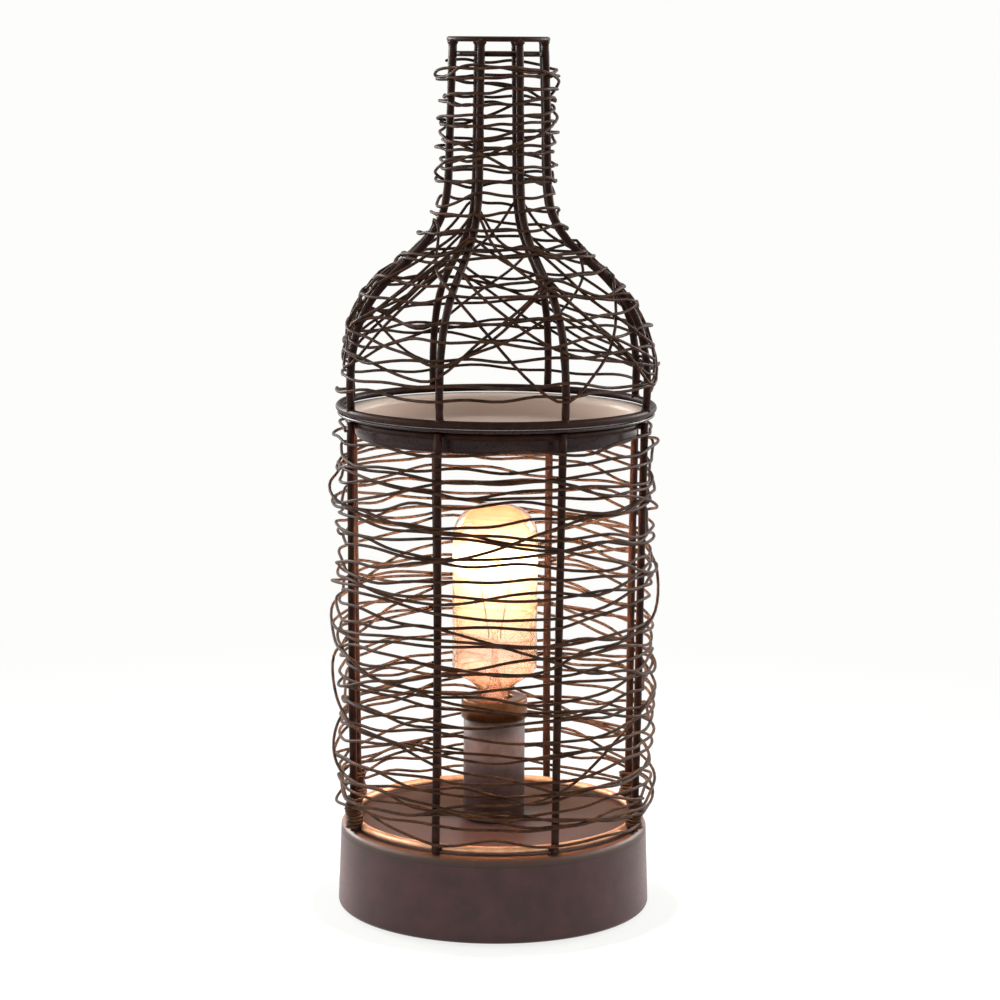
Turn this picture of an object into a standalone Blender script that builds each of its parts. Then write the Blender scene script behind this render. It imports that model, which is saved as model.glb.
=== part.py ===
"""Electric wax warmer in the shape of a bottle.

A spun metal base carries a lamp in a candle-like holder and a wire cage round it. A shallow wax dish lies
on the cage, and the shoulder and neck of the bottle, a second wire cage, stand on the dish as a lid.
The lamp warms the dish from below. Metres, +Z up, the front is -Y, the origin is under the centre.
"""

import math

import bmesh
import bpy
import numpy as np
from mathutils import Vector

# Clearance between pieces that touch or are welded on the real object
GAP = 0.0003

# Base
BASE_TOP = 0.0341
BASE_FOOT_RADIUS = 0.0608
BASE_TAPER = 0.0011
BASE_WALL = 0.0010
BASE_EDGE = 0.0025
BASE_HEM = 0.0035
BASE_HEM_WALL = 0.0020
BASE_HEM_EDGE = 0.0015
SHELL_LIFT = 0.0010
PLATE_THICKNESS = 0.0012
FEET = 3
FOOT_HEIGHT = 0.0017
FOOT_RADIUS = 0.0050
FOOT_EDGE = 0.0005
FOOT_INSET = 0.0128
SCREW_INSET = 0.0208
SCREW_SHANK = 0.0012
SCREW_HEAD = 0.0026
SCREW_HEAD_HEIGHT = 0.0010
SCREW_LENGTH = 0.0080
POST_RADIUS = 0.0032
CORD_HEIGHT = 0.0120
CORD_RADIUS = 0.0031
GROMMET_NECK = 0.0042
GROMMET_FLANGE = 0.0057
GROMMET_LIP = 0.0012
GROMMET_EDGE = 0.0006

# Wire stock: heavy rods and rings, and the fine wire wound round the cages
ROD = 0.0015
NECK_RING_WIRE = 0.0010
INNER_RING_WIRE = 0.0010
WIRE = 0.00055
RODS = 8

# How the windings stray from an even climb: waves as share of the climb of one turn, waves a turn, and start
CAGE_WAVES = ((0.330, 1.13, 0.6), (0.205, 2.31, 2.0))
LID_WAVES = ((0.350, 1.17, 1.0), (0.140, 2.29, 0.3))
WINDING_SAG = 0.0008
CAGE_WINDING_MARGIN = 0.00156
LID_WINDING_MARGIN = 0.0039
WIRE_END = 0.00143

# Lower cage: its rods lean out a little from the base's edge, and the whole cage is slightly twisted
CAGE_INSET = 0.0013
CAGE_SPREAD = 0.0016
CAGE_HEAD = 0.1934
CAGE_FOOT_TURN = math.radians(0.8)
CAGE_HEAD_TURN = math.radians(1.8)

# Wax dish: its flange lies on the cage's head, and its wall hangs inside the cage's top ring
DISH_OVERHANG = 0.0010
DISH_PLAY = 0.0010
DISH_METAL = 0.0012
DISH_DEPTH = 0.0100
DISH_CORNER = 0.0020

# Lid: its height, its rings, and the rods' line from the foot to the mouth, as radius and height points that
# are stretched to meet the rings
LID_INSET = 0.0008
LID_TURN = math.radians(2.5)
LID_HEIGHT = 0.1420
LID_LINE = (
    (0.0604, 0.0035),
    (0.0607, 0.0120),
    (0.0598, 0.0230),
    (0.0570, 0.0345),
    (0.0516, 0.0440),
    (0.0446, 0.0515),
    (0.0362, 0.0585),
    (0.0288, 0.0655),
    (0.0238, 0.0728),
    (0.0212, 0.0812),
    (0.0202, 0.0940),
    (0.0199, 0.1100),
    (0.0194, 0.1250),
    (0.0188, 0.1391),
)
NECK_RING_RADIUS = 0.0186
INNER_RING_DROP = 0.0055

# Lamp: its cap's radius also sets the holder's sizes
LAMP_CAP_RADIUS = 0.00595
LAMP_CAP_LENGTH = 0.0168
LAMP_CAP_METAL = 0.0005
LAMP_THREAD_TURNS = 4
LAMP_THREAD_PITCH = 0.00294
LAMP_THREAD_START = 0.0020
LAMP_TIP = 0.0010
LAMP_TIP_RADIUS = 0.0024
LAMP_RADIUS = 0.0165
LAMP_LENGTH = 0.0785
LAMP_NECK_STEP = 0.00015
LAMP_NECK_LENGTH = 0.0040
LAMP_SHOULDER = 0.0150
LAMP_DOME = 0.0130
LAMP_GLASS = 0.0007
STEM_HEIGHT = 0.0300
STEM_RADIUS = 0.0013
STEM_HEAD_RADIUS = 0.0018
STEM_HEAD = 0.0034
STEM_FLARE = 0.0030
STEM_FLARE_HEIGHT = 0.0060
FILAMENT_HEIGHT = 0.0570
FILAMENT_SPAN = 0.0100
FILAMENT_DROP = 0.0040
FILAMENT_TURNS = 4
FILAMENT_WIRE = 0.0002
SUPPORT_WIRE = 0.0003
SUPPORT_FOOT = 0.0030
SUPPORT_HEAD = 0.0080

# Lamp holder
HOLDER_ROOM = 0.0024
SLEEVE_METAL = 0.0006
COLLAR_TOP = 0.0826
COLLAR_HEIGHT = 0.0079
COLLAR_METAL = 0.0006
COLLAR_ROOF = 0.0010
COLLAR_PLAY = 0.00125
NIPPLE_RADIUS = 0.0050
NIPPLE_BORE = 0.0036
NIPPLE_LENGTH = 0.0170
NIPPLE_TAIL = 0.0020
NUT_FLATS = 0.0140
NUT_HEIGHT = 0.0035
WASHER_RADIUS = 0.0090
WASHER_METAL = 0.0010
STRAP_METAL = 0.0010
STRAP_WIDTH = 0.0062
STRAP_FOOT_RADIUS = 0.0085
STRAP_ARM = 0.0195
SOCKET_WALL = 0.0020
SOCKET_FLOOR = 0.0062
SOCKET_EDGE = 0.0006
SCREW_SHELL_METAL = 0.0004
SCREW_SHELL_DROP = 0.0010
CONTACT_RADIUS = 0.0034
CONTACT_METAL = 0.0008
RIVET_RADIUS = 0.0012
RIVET_HEAD = 0.0022
RIVET_HEAD_HEIGHT = 0.0010
RIVET_COVER = 0.0012
TERMINAL_SHANK = 0.0009
TERMINAL_LENGTH = 0.0024
TERMINAL_HEAD = 0.0020
TERMINAL_HEAD_HEIGHT = 0.0010
TERMINAL_HEIGHT = 0.0034

# Counts that set how finely the shapes are drawn
ROUND = 48
SMALL_ROUND = 20
TINY_ROUND = 10
LOOP_POINTS = 24
CAGE_LOOPS = 12
LID_LOOPS = 10
LID_ROD_POINTS = 14

# Radii and heights that follow from the sizes above
BASE_TOP_RADIUS = BASE_FOOT_RADIUS - BASE_TAPER
CAGE_FOOT_RADIUS = BASE_TOP_RADIUS - CAGE_INSET
CAGE_HEAD_RADIUS = CAGE_FOOT_RADIUS + CAGE_SPREAD
DISH_FLANGE_RADIUS = CAGE_HEAD_RADIUS + DISH_OVERHANG
LID_RING_RADIUS = DISH_FLANGE_RADIUS - LID_INSET
SOCKET_BORE = LAMP_CAP_RADIUS + GAP + SCREW_SHELL_METAL + GAP
SOCKET_RADIUS = SOCKET_BORE + SOCKET_WALL
SLEEVE_RADIUS = SOCKET_RADIUS + HOLDER_ROOM + SLEEVE_METAL
COLLAR_MOUTH = LAMP_CAP_RADIUS + COLLAR_PLAY
LAMP_NECK = LAMP_CAP_RADIUS + LAMP_NECK_STEP
PLATE_BOTTOM = FOOT_HEIGHT + GAP
PLATE_TOP = PLATE_BOTTOM + PLATE_THICKNESS
CAGE_RING_HEIGHT = BASE_TOP + GAP + ROD
DISH_SEAT = CAGE_HEAD + GAP
TOP_RING_HEIGHT = CAGE_HEAD - ROD
FLANGE_TOP = DISH_SEAT + DISH_METAL
LID_RING_HEIGHT = FLANGE_TOP + GAP + ROD
RING_INSET = 2 * ROD + GAP
CAGE_RING_RADIUS = CAGE_FOOT_RADIUS - RING_INSET
TOP_RING_RADIUS = CAGE_HEAD_RADIUS - RING_INSET
DISH_WALL_RADIUS = TOP_RING_RADIUS - ROD - DISH_PLAY
NECK_RING_HEIGHT = FLANGE_TOP + LID_HEIGHT - NECK_RING_WIRE
STRAP_BOTTOM = BASE_TOP + GAP
SOCKET_BOTTOM = STRAP_BOTTOM + STRAP_ARM + GAP
CONTACT_BOTTOM = SOCKET_BOTTOM + SOCKET_FLOOR + GAP
LAMP_BOTTOM = CONTACT_BOTTOM + CONTACT_METAL + GAP
CAP_BOTTOM = LAMP_BOTTOM + LAMP_TIP + GAP
CAP_TOP = CAP_BOTTOM + LAMP_CAP_LENGTH
GLASS_BOTTOM = CAP_TOP + GAP
GLASS_TOP = GLASS_BOTTOM + LAMP_LENGTH


def clear_scene():
    """Remove what a new Blender file holds."""
    for thing in list(bpy.data.objects):
        bpy.data.objects.remove(thing, do_unlink=True)


def make_material(name, colour, metallic, roughness, alpha=1.0, glow=0.0):
    """A Principled material in one colour."""
    material = bpy.data.materials.new(name)
    material.use_nodes = True
    shader = material.node_tree.nodes["Principled BSDF"]
    shader.inputs["Base Color"].default_value = (*colour, 1.0)
    shader.inputs["Metallic"].default_value = metallic
    shader.inputs["Roughness"].default_value = roughness
    shader.inputs["Alpha"].default_value = alpha
    shader.inputs["Emission Color"].default_value = (*colour, 1.0)
    shader.inputs["Emission Strength"].default_value = glow
    material.diffuse_color = (*colour, alpha)
    return material


def add_object(name, data, parent, material):
    """Put one node into the scene."""
    thing = bpy.data.objects.new(name, data)
    bpy.context.scene.collection.objects.link(thing)
    thing.parent = parent
    data.materials.append(material)
    return thing


def add_empty(name, height, parent=None):
    """A marker that carries the pieces of one moving body."""
    marker = bpy.data.objects.new(name, None)
    marker.empty_display_size = 0.02
    bpy.context.scene.collection.objects.link(marker)
    marker.parent = parent
    marker.location = (0.0, 0.0, height - (parent.location.z if parent else 0.0))
    return marker


def place(thing, height):
    """Set a node's height above the ground, whatever carries it."""
    carrier = thing.parent
    while carrier is not None:
        height -= carrier.location.z
        carrier = carrier.parent
    thing.location.z = height


def arc(centre, radius, start, end, steps):
    """Points of an arc in the radius and height plane, angles in degrees from the outward direction."""
    points = []
    for angle in np.linspace(math.radians(start), math.radians(end), steps + 1):
        points.append((centre[0] + radius * math.cos(angle), centre[1] + radius * math.sin(angle)))
    return points


def turned(name, outline, parent, material, closed, sides=ROUND, height=0.0):
    """A turned piece: an outline of radius and height points, clockwise, spun round Z by a Screw."""
    mesh = bpy.data.meshes.new(name)
    vertices = [(radius, 0.0, level) for radius, level in outline]
    edges = [(index, index + 1) for index in range(len(outline) - 1)]
    if closed:
        edges.append((len(outline) - 1, 0))
    mesh.from_pydata(vertices, edges, [])
    thing = add_object(name, mesh, parent, material)
    place(thing, height)
    screw = thing.modifiers.new("spin", "SCREW")
    screw.axis = "Z"
    screw.steps = sides
    screw.render_steps = sides
    screw.use_merge_vertices = True
    screw.merge_threshold = 0.00001
    screw.use_smooth_shade = True
    return thing


def ring(name, circle_radius, wire_radius, height, parent, material, sides=36):
    """A closed hoop of round wire, drawn with six sides."""
    outline = arc((circle_radius, 0.0), wire_radius, 0.0, -300.0, 5)
    return turned(name, outline, parent, material, closed=True, sides=sides, height=height)


def tube(name, points, radius, parent, material, resolution):
    """Round wire along a row of points given above the ground, with flat ends."""
    curve = bpy.data.curves.new(name, "CURVE")
    curve.dimensions = "3D"
    curve.bevel_depth = radius
    curve.bevel_resolution = resolution
    curve.use_fill_caps = True
    spline = curve.splines.new("POLY")
    spline.points.add(len(points) - 1)
    for knot, point in zip(spline.points, points):
        knot.co = (*point, 1.0)
    spline.use_smooth = True
    thing = add_object(name, curve, parent, material)
    place(thing, 0.0)
    return thing


def circle(radius, sides):
    """The corners of a round outline in X and Y."""
    return [(radius * math.cos(angle), radius * math.sin(angle)) for angle in spaced_angles(sides)]


def prism(name, outline, bottom, top, parent, material):
    """A flat outline in X and Y, extruded from one height to another."""
    shape = bmesh.new()
    corners = [shape.verts.new((x, y, bottom)) for x, y in outline]
    face = shape.faces.new(corners)
    lifted = bmesh.ops.extrude_face_region(shape, geom=[face])
    moved = [item for item in lifted["geom"] if isinstance(item, bmesh.types.BMVert)]
    bmesh.ops.translate(shape, vec=(0.0, 0.0, top - bottom), verts=moved)
    bmesh.ops.recalc_face_normals(shape, faces=shape.faces)
    mesh = bpy.data.meshes.new(name)
    shape.to_mesh(mesh)
    shape.free()
    thing = add_object(name, mesh, parent, material)
    place(thing, 0.0)
    return thing


def combine(thing, helper, operation):
    """Join a helper shape to a piece, or cut it out, and hide the helper."""
    helper.hide_render = True
    helper.display_type = "WIRE"
    step = thing.modifiers.new(helper.name, "BOOLEAN")
    step.operation = operation
    step.solver = "EXACT"
    step.object = helper


def round_the_axis(radius, angle, height):
    """A point from its radius, its angle from the front (-Y) towards +X, and its height."""
    return Vector((radius * math.sin(angle), -radius * math.cos(angle), height))


def spaced_angles(count, first=0.0):
    """Equal angles all round."""
    return [first + 2 * math.pi * index / count for index in range(count)]


def screw_outline(shank, head, head_height, length):
    """A pan-head screw or rivet, head down, with its seat at height 0."""
    corner = 0.4 * head_height
    outline = [(0.0, length), (shank - 0.0002, length), (shank, length - 0.0003), (shank, 0.0), (head, 0.0)]
    outline += arc((head - corner, -head_height + corner), corner, 0.0, -90.0, 1)
    return outline + [(0.0, -head_height)]


def smooth_line(points, steps):
    """Points on a Catmull-Rom curve through the given ones, evenly spaced along it."""
    knots = np.array(points)
    padded = np.vstack([2 * knots[0] - knots[1], knots, 2 * knots[-1] - knots[-2]])
    fine = []
    for index in range(len(knots) - 1):
        before, start, end, after = padded[index:index + 4]
        for share in np.linspace(0.0, 1.0, 12, endpoint=False):
            fine.append(
                0.5 * (2 * start + (end - before) * share
                       + (2 * before - 5 * start + 4 * end - after) * share ** 2
                       + (3 * start - before - 3 * end + after) * share ** 3))
    fine = np.array(fine + [knots[-1]])
    travelled = np.concatenate([[0.0], np.cumsum(np.linalg.norm(np.diff(fine, axis=0), axis=1))])
    stations = np.linspace(0.0, travelled[-1], steps)
    return np.column_stack([np.interp(stations, travelled, fine[:, axis]) for axis in range(2)])


def least_gap(points, diameter):
    """The smallest space between a wire's own turns, measured on closely spaced points."""
    line = np.array([tuple(point) for point in points])
    stations = np.linspace(0.0, len(line) - 1.0, 5 * len(line))
    fine = np.column_stack([np.interp(stations, np.arange(len(line)), line[:, axis]) for axis in range(3)])
    travelled = np.concatenate([[0.0], np.cumsum(np.linalg.norm(np.diff(fine, axis=0), axis=1))])
    least = math.inf
    for index, point in enumerate(fine):
        far = travelled > travelled[index] + 12 * diameter
        if far.any():
            least = min(least, np.linalg.norm(fine[far] - point, axis=1).min())
    return least - diameter


def cage_turn(height):
    """The lower cage's twist at a height."""
    share = (height - CAGE_RING_HEIGHT) / (CAGE_HEAD - CAGE_RING_HEIGHT)
    return CAGE_FOOT_TURN + share * (CAGE_HEAD_TURN - CAGE_FOOT_TURN)


def cage_radius(height):
    """The radius of the lower cage's rods at a height."""
    share = (height - CAGE_RING_HEIGHT) / (CAGE_HEAD - CAGE_RING_HEIGHT)
    return CAGE_FOOT_RADIUS + share * (CAGE_HEAD_RADIUS - CAGE_FOOT_RADIUS)


def sway(turn, turns, climb, waves):
    """How far a winding strays from an even climb: waves that fade out at both ends."""
    fade = min(1.0, turn, turns - turn)
    strays = [share * math.sin(2 * math.pi * rate * turn + start) for share, rate, start in waves]
    return fade * climb * sum(strays)


def make_base(body, paint, steel, rubber, plate_paint):
    """The base shell with its posts, the bottom plate, screws, feet and cord grommet."""
    hem_radius = BASE_FOOT_RADIUS - BASE_HEM_WALL
    bore = NIPPLE_RADIUS + GAP
    outline = [(bore, BASE_TOP)]
    outline += arc((BASE_TOP_RADIUS - BASE_EDGE, BASE_TOP - BASE_EDGE), BASE_EDGE, 90.0, 0.0, 3)
    outline += arc(
        (BASE_FOOT_RADIUS - BASE_HEM_EDGE, SHELL_LIFT + BASE_HEM_EDGE), BASE_HEM_EDGE, 0.0, -90.0, 2)
    outline += [
        (hem_radius, SHELL_LIFT),
        (hem_radius, SHELL_LIFT + BASE_HEM),
        (BASE_FOOT_RADIUS - BASE_WALL, SHELL_LIFT + BASE_HEM + BASE_WALL),
    ]
    outline += arc((BASE_TOP_RADIUS - BASE_EDGE, BASE_TOP - BASE_EDGE), BASE_EDGE - BASE_WALL, 0.0, 90.0, 2)
    outline += [(bore, BASE_TOP - BASE_WALL)]
    shell = turned("base_shell", outline, body, paint, closed=True)

    plate_outline = circle(hem_radius - GAP, ROUND)
    plate = prism("base_bottom_plate", plate_outline, PLATE_BOTTOM, PLATE_TOP, body, plate_paint)

    hole = SCREW_SHANK + GAP
    post_bottom = PLATE_TOP + GAP
    post_top = BASE_TOP - 0.5 * BASE_WALL
    hole_top = PLATE_BOTTOM + SCREW_LENGTH + GAP
    for index, angle in enumerate(spaced_angles(FEET)):
        spot = round_the_axis(BASE_FOOT_RADIUS - SCREW_INSET, angle, 0.0)
        post_outline = [
            (0.0, post_top),
            (POST_RADIUS, post_top),
            (POST_RADIUS, post_bottom),
            (hole, post_bottom),
            (hole, hole_top),
            (0.0, hole_top),
        ]
        post = turned(f"post_{index + 1}", post_outline, body, steel, closed=False, sides=TINY_ROUND)
        post.location += spot
        combine(shell, post, "UNION")
        drill_outline = circle(hole, TINY_ROUND)
        drill = prism(f"plate_drill_{index + 1}", drill_outline, 0.0, PLATE_TOP + GAP, body, steel)
        drill.location += spot
        combine(plate, drill, "DIFFERENCE")
        outline = screw_outline(SCREW_SHANK, SCREW_HEAD, SCREW_HEAD_HEIGHT, SCREW_LENGTH)
        screw = turned(
            f"plate_screw_{index + 1}", outline, body, steel, closed=False, sides=TINY_ROUND,
            height=PLATE_BOTTOM - GAP)
        screw.location += spot
        foot_outline = [(0.0, FOOT_HEIGHT)]
        foot_outline += arc((FOOT_RADIUS - FOOT_EDGE, FOOT_HEIGHT - FOOT_EDGE), FOOT_EDGE, 90.0, 0.0, 1)
        foot_outline += [(FOOT_RADIUS, 0.0), (0.0, 0.0)]
        foot = turned(f"foot_{index + 1}", foot_outline, body, rubber, closed=False, sides=SMALL_ROUND)
        foot.location += round_the_axis(BASE_FOOT_RADIUS - FOOT_INSET, angle + math.pi / FEET, 0.0)

    make_grommet(shell, body, rubber)


def make_grommet(shell, body, rubber):
    """The rubber bush that the cord leaves through, in the middle of the base's back wall."""
    outside = BASE_FOOT_RADIUS + GAP
    inside = BASE_TOP_RADIUS - BASE_WALL - 2 * GAP
    outline = [
        (CORD_RADIUS, outside + GROMMET_LIP),
        (GROMMET_FLANGE - GROMMET_EDGE, outside + GROMMET_LIP),
        (GROMMET_FLANGE, outside + GROMMET_LIP - GROMMET_EDGE),
        (GROMMET_FLANGE, outside),
        (GROMMET_NECK, outside),
        (GROMMET_NECK, inside),
        (GROMMET_FLANGE, inside),
        (GROMMET_FLANGE, inside - GROMMET_LIP),
        (CORD_RADIUS, inside - GROMMET_LIP),
    ]
    grommet = turned("cord_grommet", outline, body, rubber, closed=True, sides=SMALL_ROUND)
    drill_radius = GROMMET_NECK + GAP
    drill_outline = [
        (0.0, outside + GROMMET_LIP),
        (drill_radius, outside + GROMMET_LIP),
        (drill_radius, inside - GROMMET_LIP),
        (0.0, inside - GROMMET_LIP),
    ]
    drill = turned("cord_drill", drill_outline, body, rubber, closed=False, sides=SMALL_ROUND)
    for thing in (grommet, drill):
        thing.rotation_euler = (-math.pi / 2, 0.0, 0.0)
        thing.location.z = CORD_HEIGHT
    combine(shell, drill, "DIFFERENCE")


def make_cage(body, paint):
    """The lower cage: two rings, eight rods, and the wire wound round them."""
    ring("cage_bottom_ring", CAGE_RING_RADIUS, ROD, CAGE_RING_HEIGHT, body, paint)
    ring("cage_top_ring", TOP_RING_RADIUS, ROD, TOP_RING_HEIGHT, body, paint)
    first_rod = math.pi / RODS
    foot_height = BASE_TOP + GAP
    head_height = TOP_RING_HEIGHT + ROD - GAP
    for index, angle in enumerate(spaced_angles(RODS, first_rod)):
        foot = round_the_axis(cage_radius(foot_height), angle + cage_turn(foot_height), foot_height)
        head = round_the_axis(cage_radius(head_height), angle + cage_turn(head_height), head_height)
        tube(f"cage_rod_{index + 1}", [foot, head], ROD, body, paint, resolution=4)

    clear = ROD + GAP + WIRE
    step = 2 * math.pi / LOOP_POINTS
    low = CAGE_RING_HEIGHT + CAGE_WINDING_MARGIN
    high = TOP_RING_HEIGHT - CAGE_WINDING_MARGIN
    climb = (high - low) / CAGE_LOOPS
    points = []
    for index in range(CAGE_LOOPS * LOOP_POINTS + 1):
        turn = index / LOOP_POINTS
        height = low + climb * turn + sway(turn, CAGE_LOOPS, climb, CAGE_WAVES)
        angle = first_rod + index * step + cage_turn(height)
        between = math.sin(0.5 * RODS * index * step) ** 2
        points.append(round_the_axis(cage_radius(height) + clear - WINDING_SAG * between, angle, height))

    start = first_rod + cage_turn(low) - 1.3 * step
    end = first_rod + cage_turn(high) + 1.3 * step
    points = wire_end(CAGE_RING_RADIUS, CAGE_RING_HEIGHT, cage_radius(low) + clear, start, step) + points
    points += wire_end(TOP_RING_RADIUS, TOP_RING_HEIGHT, cage_radius(high) + clear, end, -step)[::-1]
    tube("cage_winding", points, WIRE, body, paint, resolution=1)
    print("cage_winding least gap to itself: %.2f mm" % (1000 * least_gap(points, 2 * WIRE)))


def wire_end(ring_radius, height, winding_radius, angle, step):
    """A winding's end: straight out from a ring's outer side, then round into the first loop."""
    start = ring_radius + ROD + GAP
    straight = start + WIRE_END
    middle = 0.5 * (straight + winding_radius)
    return [
        round_the_axis(start, angle, height),
        round_the_axis(straight, angle, height),
        round_the_axis(middle, angle + 0.10 * step, height),
        round_the_axis(winding_radius - 0.5 * GAP, angle + 0.35 * step, height),
    ]


def make_dish(body, paint):
    """The shallow wax dish with the flange that it hangs by."""
    edge = 0.5 * DISH_METAL
    bottom = FLANGE_TOP - DISH_DEPTH
    inner_radius = DISH_WALL_RADIUS - DISH_METAL
    bend = DISH_METAL
    lip = bend + DISH_METAL
    outline = [(0.0, bottom + DISH_METAL)]
    outline += arc(
        (DISH_WALL_RADIUS - DISH_CORNER, bottom + DISH_CORNER), DISH_CORNER - DISH_METAL, -90.0, 0.0, 1)
    outline += arc((inner_radius + lip, FLANGE_TOP - lip), lip, 180.0, 90.0, 3)
    outline += arc((DISH_FLANGE_RADIUS - edge, FLANGE_TOP - edge), edge, 90.0, -90.0, 2)
    outline += arc((DISH_WALL_RADIUS + bend, DISH_SEAT - bend), bend, 90.0, 180.0, 2)
    outline += arc((DISH_WALL_RADIUS - DISH_CORNER, bottom + DISH_CORNER), DISH_CORNER, 0.0, -90.0, 3)
    outline += [(0.0, bottom)]
    turned("wax_dish", outline, body, paint, closed=False, sides=40)


def make_lid(body, paint):
    """The lid: the bottle's shoulder and neck, with its rings, eight bent rods and wound wire."""
    ring("lid_bottom_ring", LID_RING_RADIUS, ROD, LID_RING_HEIGHT, body, paint)
    ring("neck_top_ring", NECK_RING_RADIUS, NECK_RING_WIRE, NECK_RING_HEIGHT, body, paint, sides=24)
    inner_height = NECK_RING_HEIGHT - INNER_RING_DROP
    inner_radius = NECK_RING_RADIUS - ROD - GAP - INNER_RING_WIRE
    ring("neck_inner_ring", inner_radius, INNER_RING_WIRE, inner_height, body, paint, sides=24)

    foot = LID_RING_HEIGHT + ROD + GAP
    head = NECK_RING_HEIGHT - NECK_RING_WIRE - GAP
    line = smooth_line(LID_LINE, LID_ROD_POINTS)
    for axis, first, last in ((0, LID_RING_RADIUS, NECK_RING_RADIUS), (1, foot, head)):
        stretch = (last - first) / (line[-1, axis] - line[0, axis])
        line[:, axis] = first + (line[:, axis] - line[0, axis]) * stretch
    first_rod = math.pi / RODS + LID_TURN
    for index, angle in enumerate(spaced_angles(RODS, first_rod)):
        points = [round_the_axis(radius, angle, level) for radius, level in line]
        tube(f"lid_rod_{index + 1}", points, ROD, body, paint, resolution=1)

    clear = ROD + GAP + WIRE
    fine = smooth_line(line, 241)
    slope = np.gradient(fine, axis=0)
    outward = np.column_stack([slope[:, 1], -slope[:, 0]]) / np.linalg.norm(slope, axis=1)[:, None]
    skin = fine + clear * outward
    travelled = np.concatenate([[0.0], np.cumsum(np.linalg.norm(np.diff(skin, axis=0), axis=1))])
    low = LID_WINDING_MARGIN
    high = travelled[-1] - LID_WINDING_MARGIN
    step = 2 * math.pi / LOOP_POINTS
    climb = (high - low) / LID_LOOPS
    points = []
    for index in range(LID_LOOPS * LOOP_POINTS + 2):
        turn = index / LOOP_POINTS
        station = low + climb * turn + sway(turn, LID_LOOPS, climb, LID_WAVES)
        radius = np.interp(station, travelled, skin[:, 0])
        height = np.interp(station, travelled, skin[:, 1])
        points.append(round_the_axis(radius, first_rod + index * step, height))

    start = first_rod - 1.4 * step
    lead = [
        round_the_axis(LID_RING_RADIUS, start, foot),
        round_the_axis(LID_RING_RADIUS, start, foot + WIRE_END),
        round_the_axis(LID_RING_RADIUS + 0.4 * clear, start + 0.12 * step, foot + 1.7 * WIRE_END),
        round_the_axis(LID_RING_RADIUS + clear, start + 0.45 * step, foot + 2.4 * WIRE_END),
    ]
    end = first_rod + 2.5 * step
    tail = [
        round_the_axis(NECK_RING_RADIUS + 0.6 * clear, end - 0.55 * step, head - 1.8 * WIRE_END),
        round_the_axis(NECK_RING_RADIUS, end, head - WIRE_END),
        round_the_axis(NECK_RING_RADIUS, end, head),
    ]
    points = lead + points + tail
    tube("lid_winding", points, WIRE, body, paint, resolution=1)
    print("lid_winding least gap to itself: %.2f mm" % (1000 * least_gap(points, 2 * WIRE)))


def make_holder(body, paint, steel, brass, socket_plastic):
    """The lamp holder: nipple, nuts, strap, socket, sleeve and collar."""
    nipple_bottom = BASE_TOP - BASE_WALL - WASHER_METAL - NUT_HEIGHT - 2 * GAP - NIPPLE_TAIL
    nipple_outline = [
        (NIPPLE_BORE, nipple_bottom + NIPPLE_LENGTH),
        (NIPPLE_RADIUS, nipple_bottom + NIPPLE_LENGTH),
        (NIPPLE_RADIUS, nipple_bottom),
        (NIPPLE_BORE, nipple_bottom),
    ]
    turned("lamp_nipple", nipple_outline, body, steel, closed=True, sides=SMALL_ROUND)

    bore = NIPPLE_RADIUS + GAP
    washer_top = BASE_TOP - BASE_WALL - GAP
    washer_outline = [
        (bore, washer_top),
        (WASHER_RADIUS, washer_top),
        (WASHER_RADIUS, washer_top - WASHER_METAL),
        (bore, washer_top - WASHER_METAL),
    ]
    turned("nipple_washer", washer_outline, body, steel, closed=True, sides=SMALL_ROUND)

    lower_nut_bottom = washer_top - WASHER_METAL - GAP - NUT_HEIGHT
    upper_nut_bottom = STRAP_BOTTOM + STRAP_METAL + GAP
    for name, bottom in (("nipple_nut_lower", lower_nut_bottom), ("nipple_nut_upper", upper_nut_bottom)):
        hexagon = circle(0.5 * NUT_FLATS / math.cos(math.pi / 6), 6)
        nut = prism(name, hexagon, bottom, bottom + NUT_HEIGHT, body, brass)
        drill_outline = circle(bore, SMALL_ROUND)
        drill = prism(f"{name}_drill", drill_outline, bottom - GAP, bottom + NUT_HEIGHT + GAP, body, steel)
        combine(nut, drill, "DIFFERENCE")

    make_strap(body, steel)
    make_socket(body, brass, steel, socket_plastic)

    sleeve_inner = SLEEVE_RADIUS - SLEEVE_METAL
    sleeve_top = COLLAR_TOP - COLLAR_ROOF - GAP
    sleeve_outline = [
        (sleeve_inner, sleeve_top),
        (SLEEVE_RADIUS, sleeve_top),
        (SLEEVE_RADIUS, BASE_TOP + GAP),
        (sleeve_inner, BASE_TOP + GAP),
    ]
    turned("holder_sleeve", sleeve_outline, body, paint, closed=True, sides=24)

    skirt_inner = SLEEVE_RADIUS + GAP
    skirt_outer = skirt_inner + COLLAR_METAL
    collar_outline = [(COLLAR_MOUTH, COLLAR_TOP)]
    collar_outline += arc((skirt_outer - COLLAR_ROOF, COLLAR_TOP - COLLAR_ROOF), COLLAR_ROOF, 90.0, 0.0, 3)
    collar_outline += [
        (skirt_outer, COLLAR_TOP - COLLAR_HEIGHT),
        (skirt_inner, COLLAR_TOP - COLLAR_HEIGHT),
        (skirt_inner, COLLAR_TOP - COLLAR_ROOF),
        (COLLAR_MOUTH, COLLAR_TOP - COLLAR_ROOF),
    ]
    turned("holder_collar", collar_outline, body, brass, closed=True, sides=24)


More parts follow.
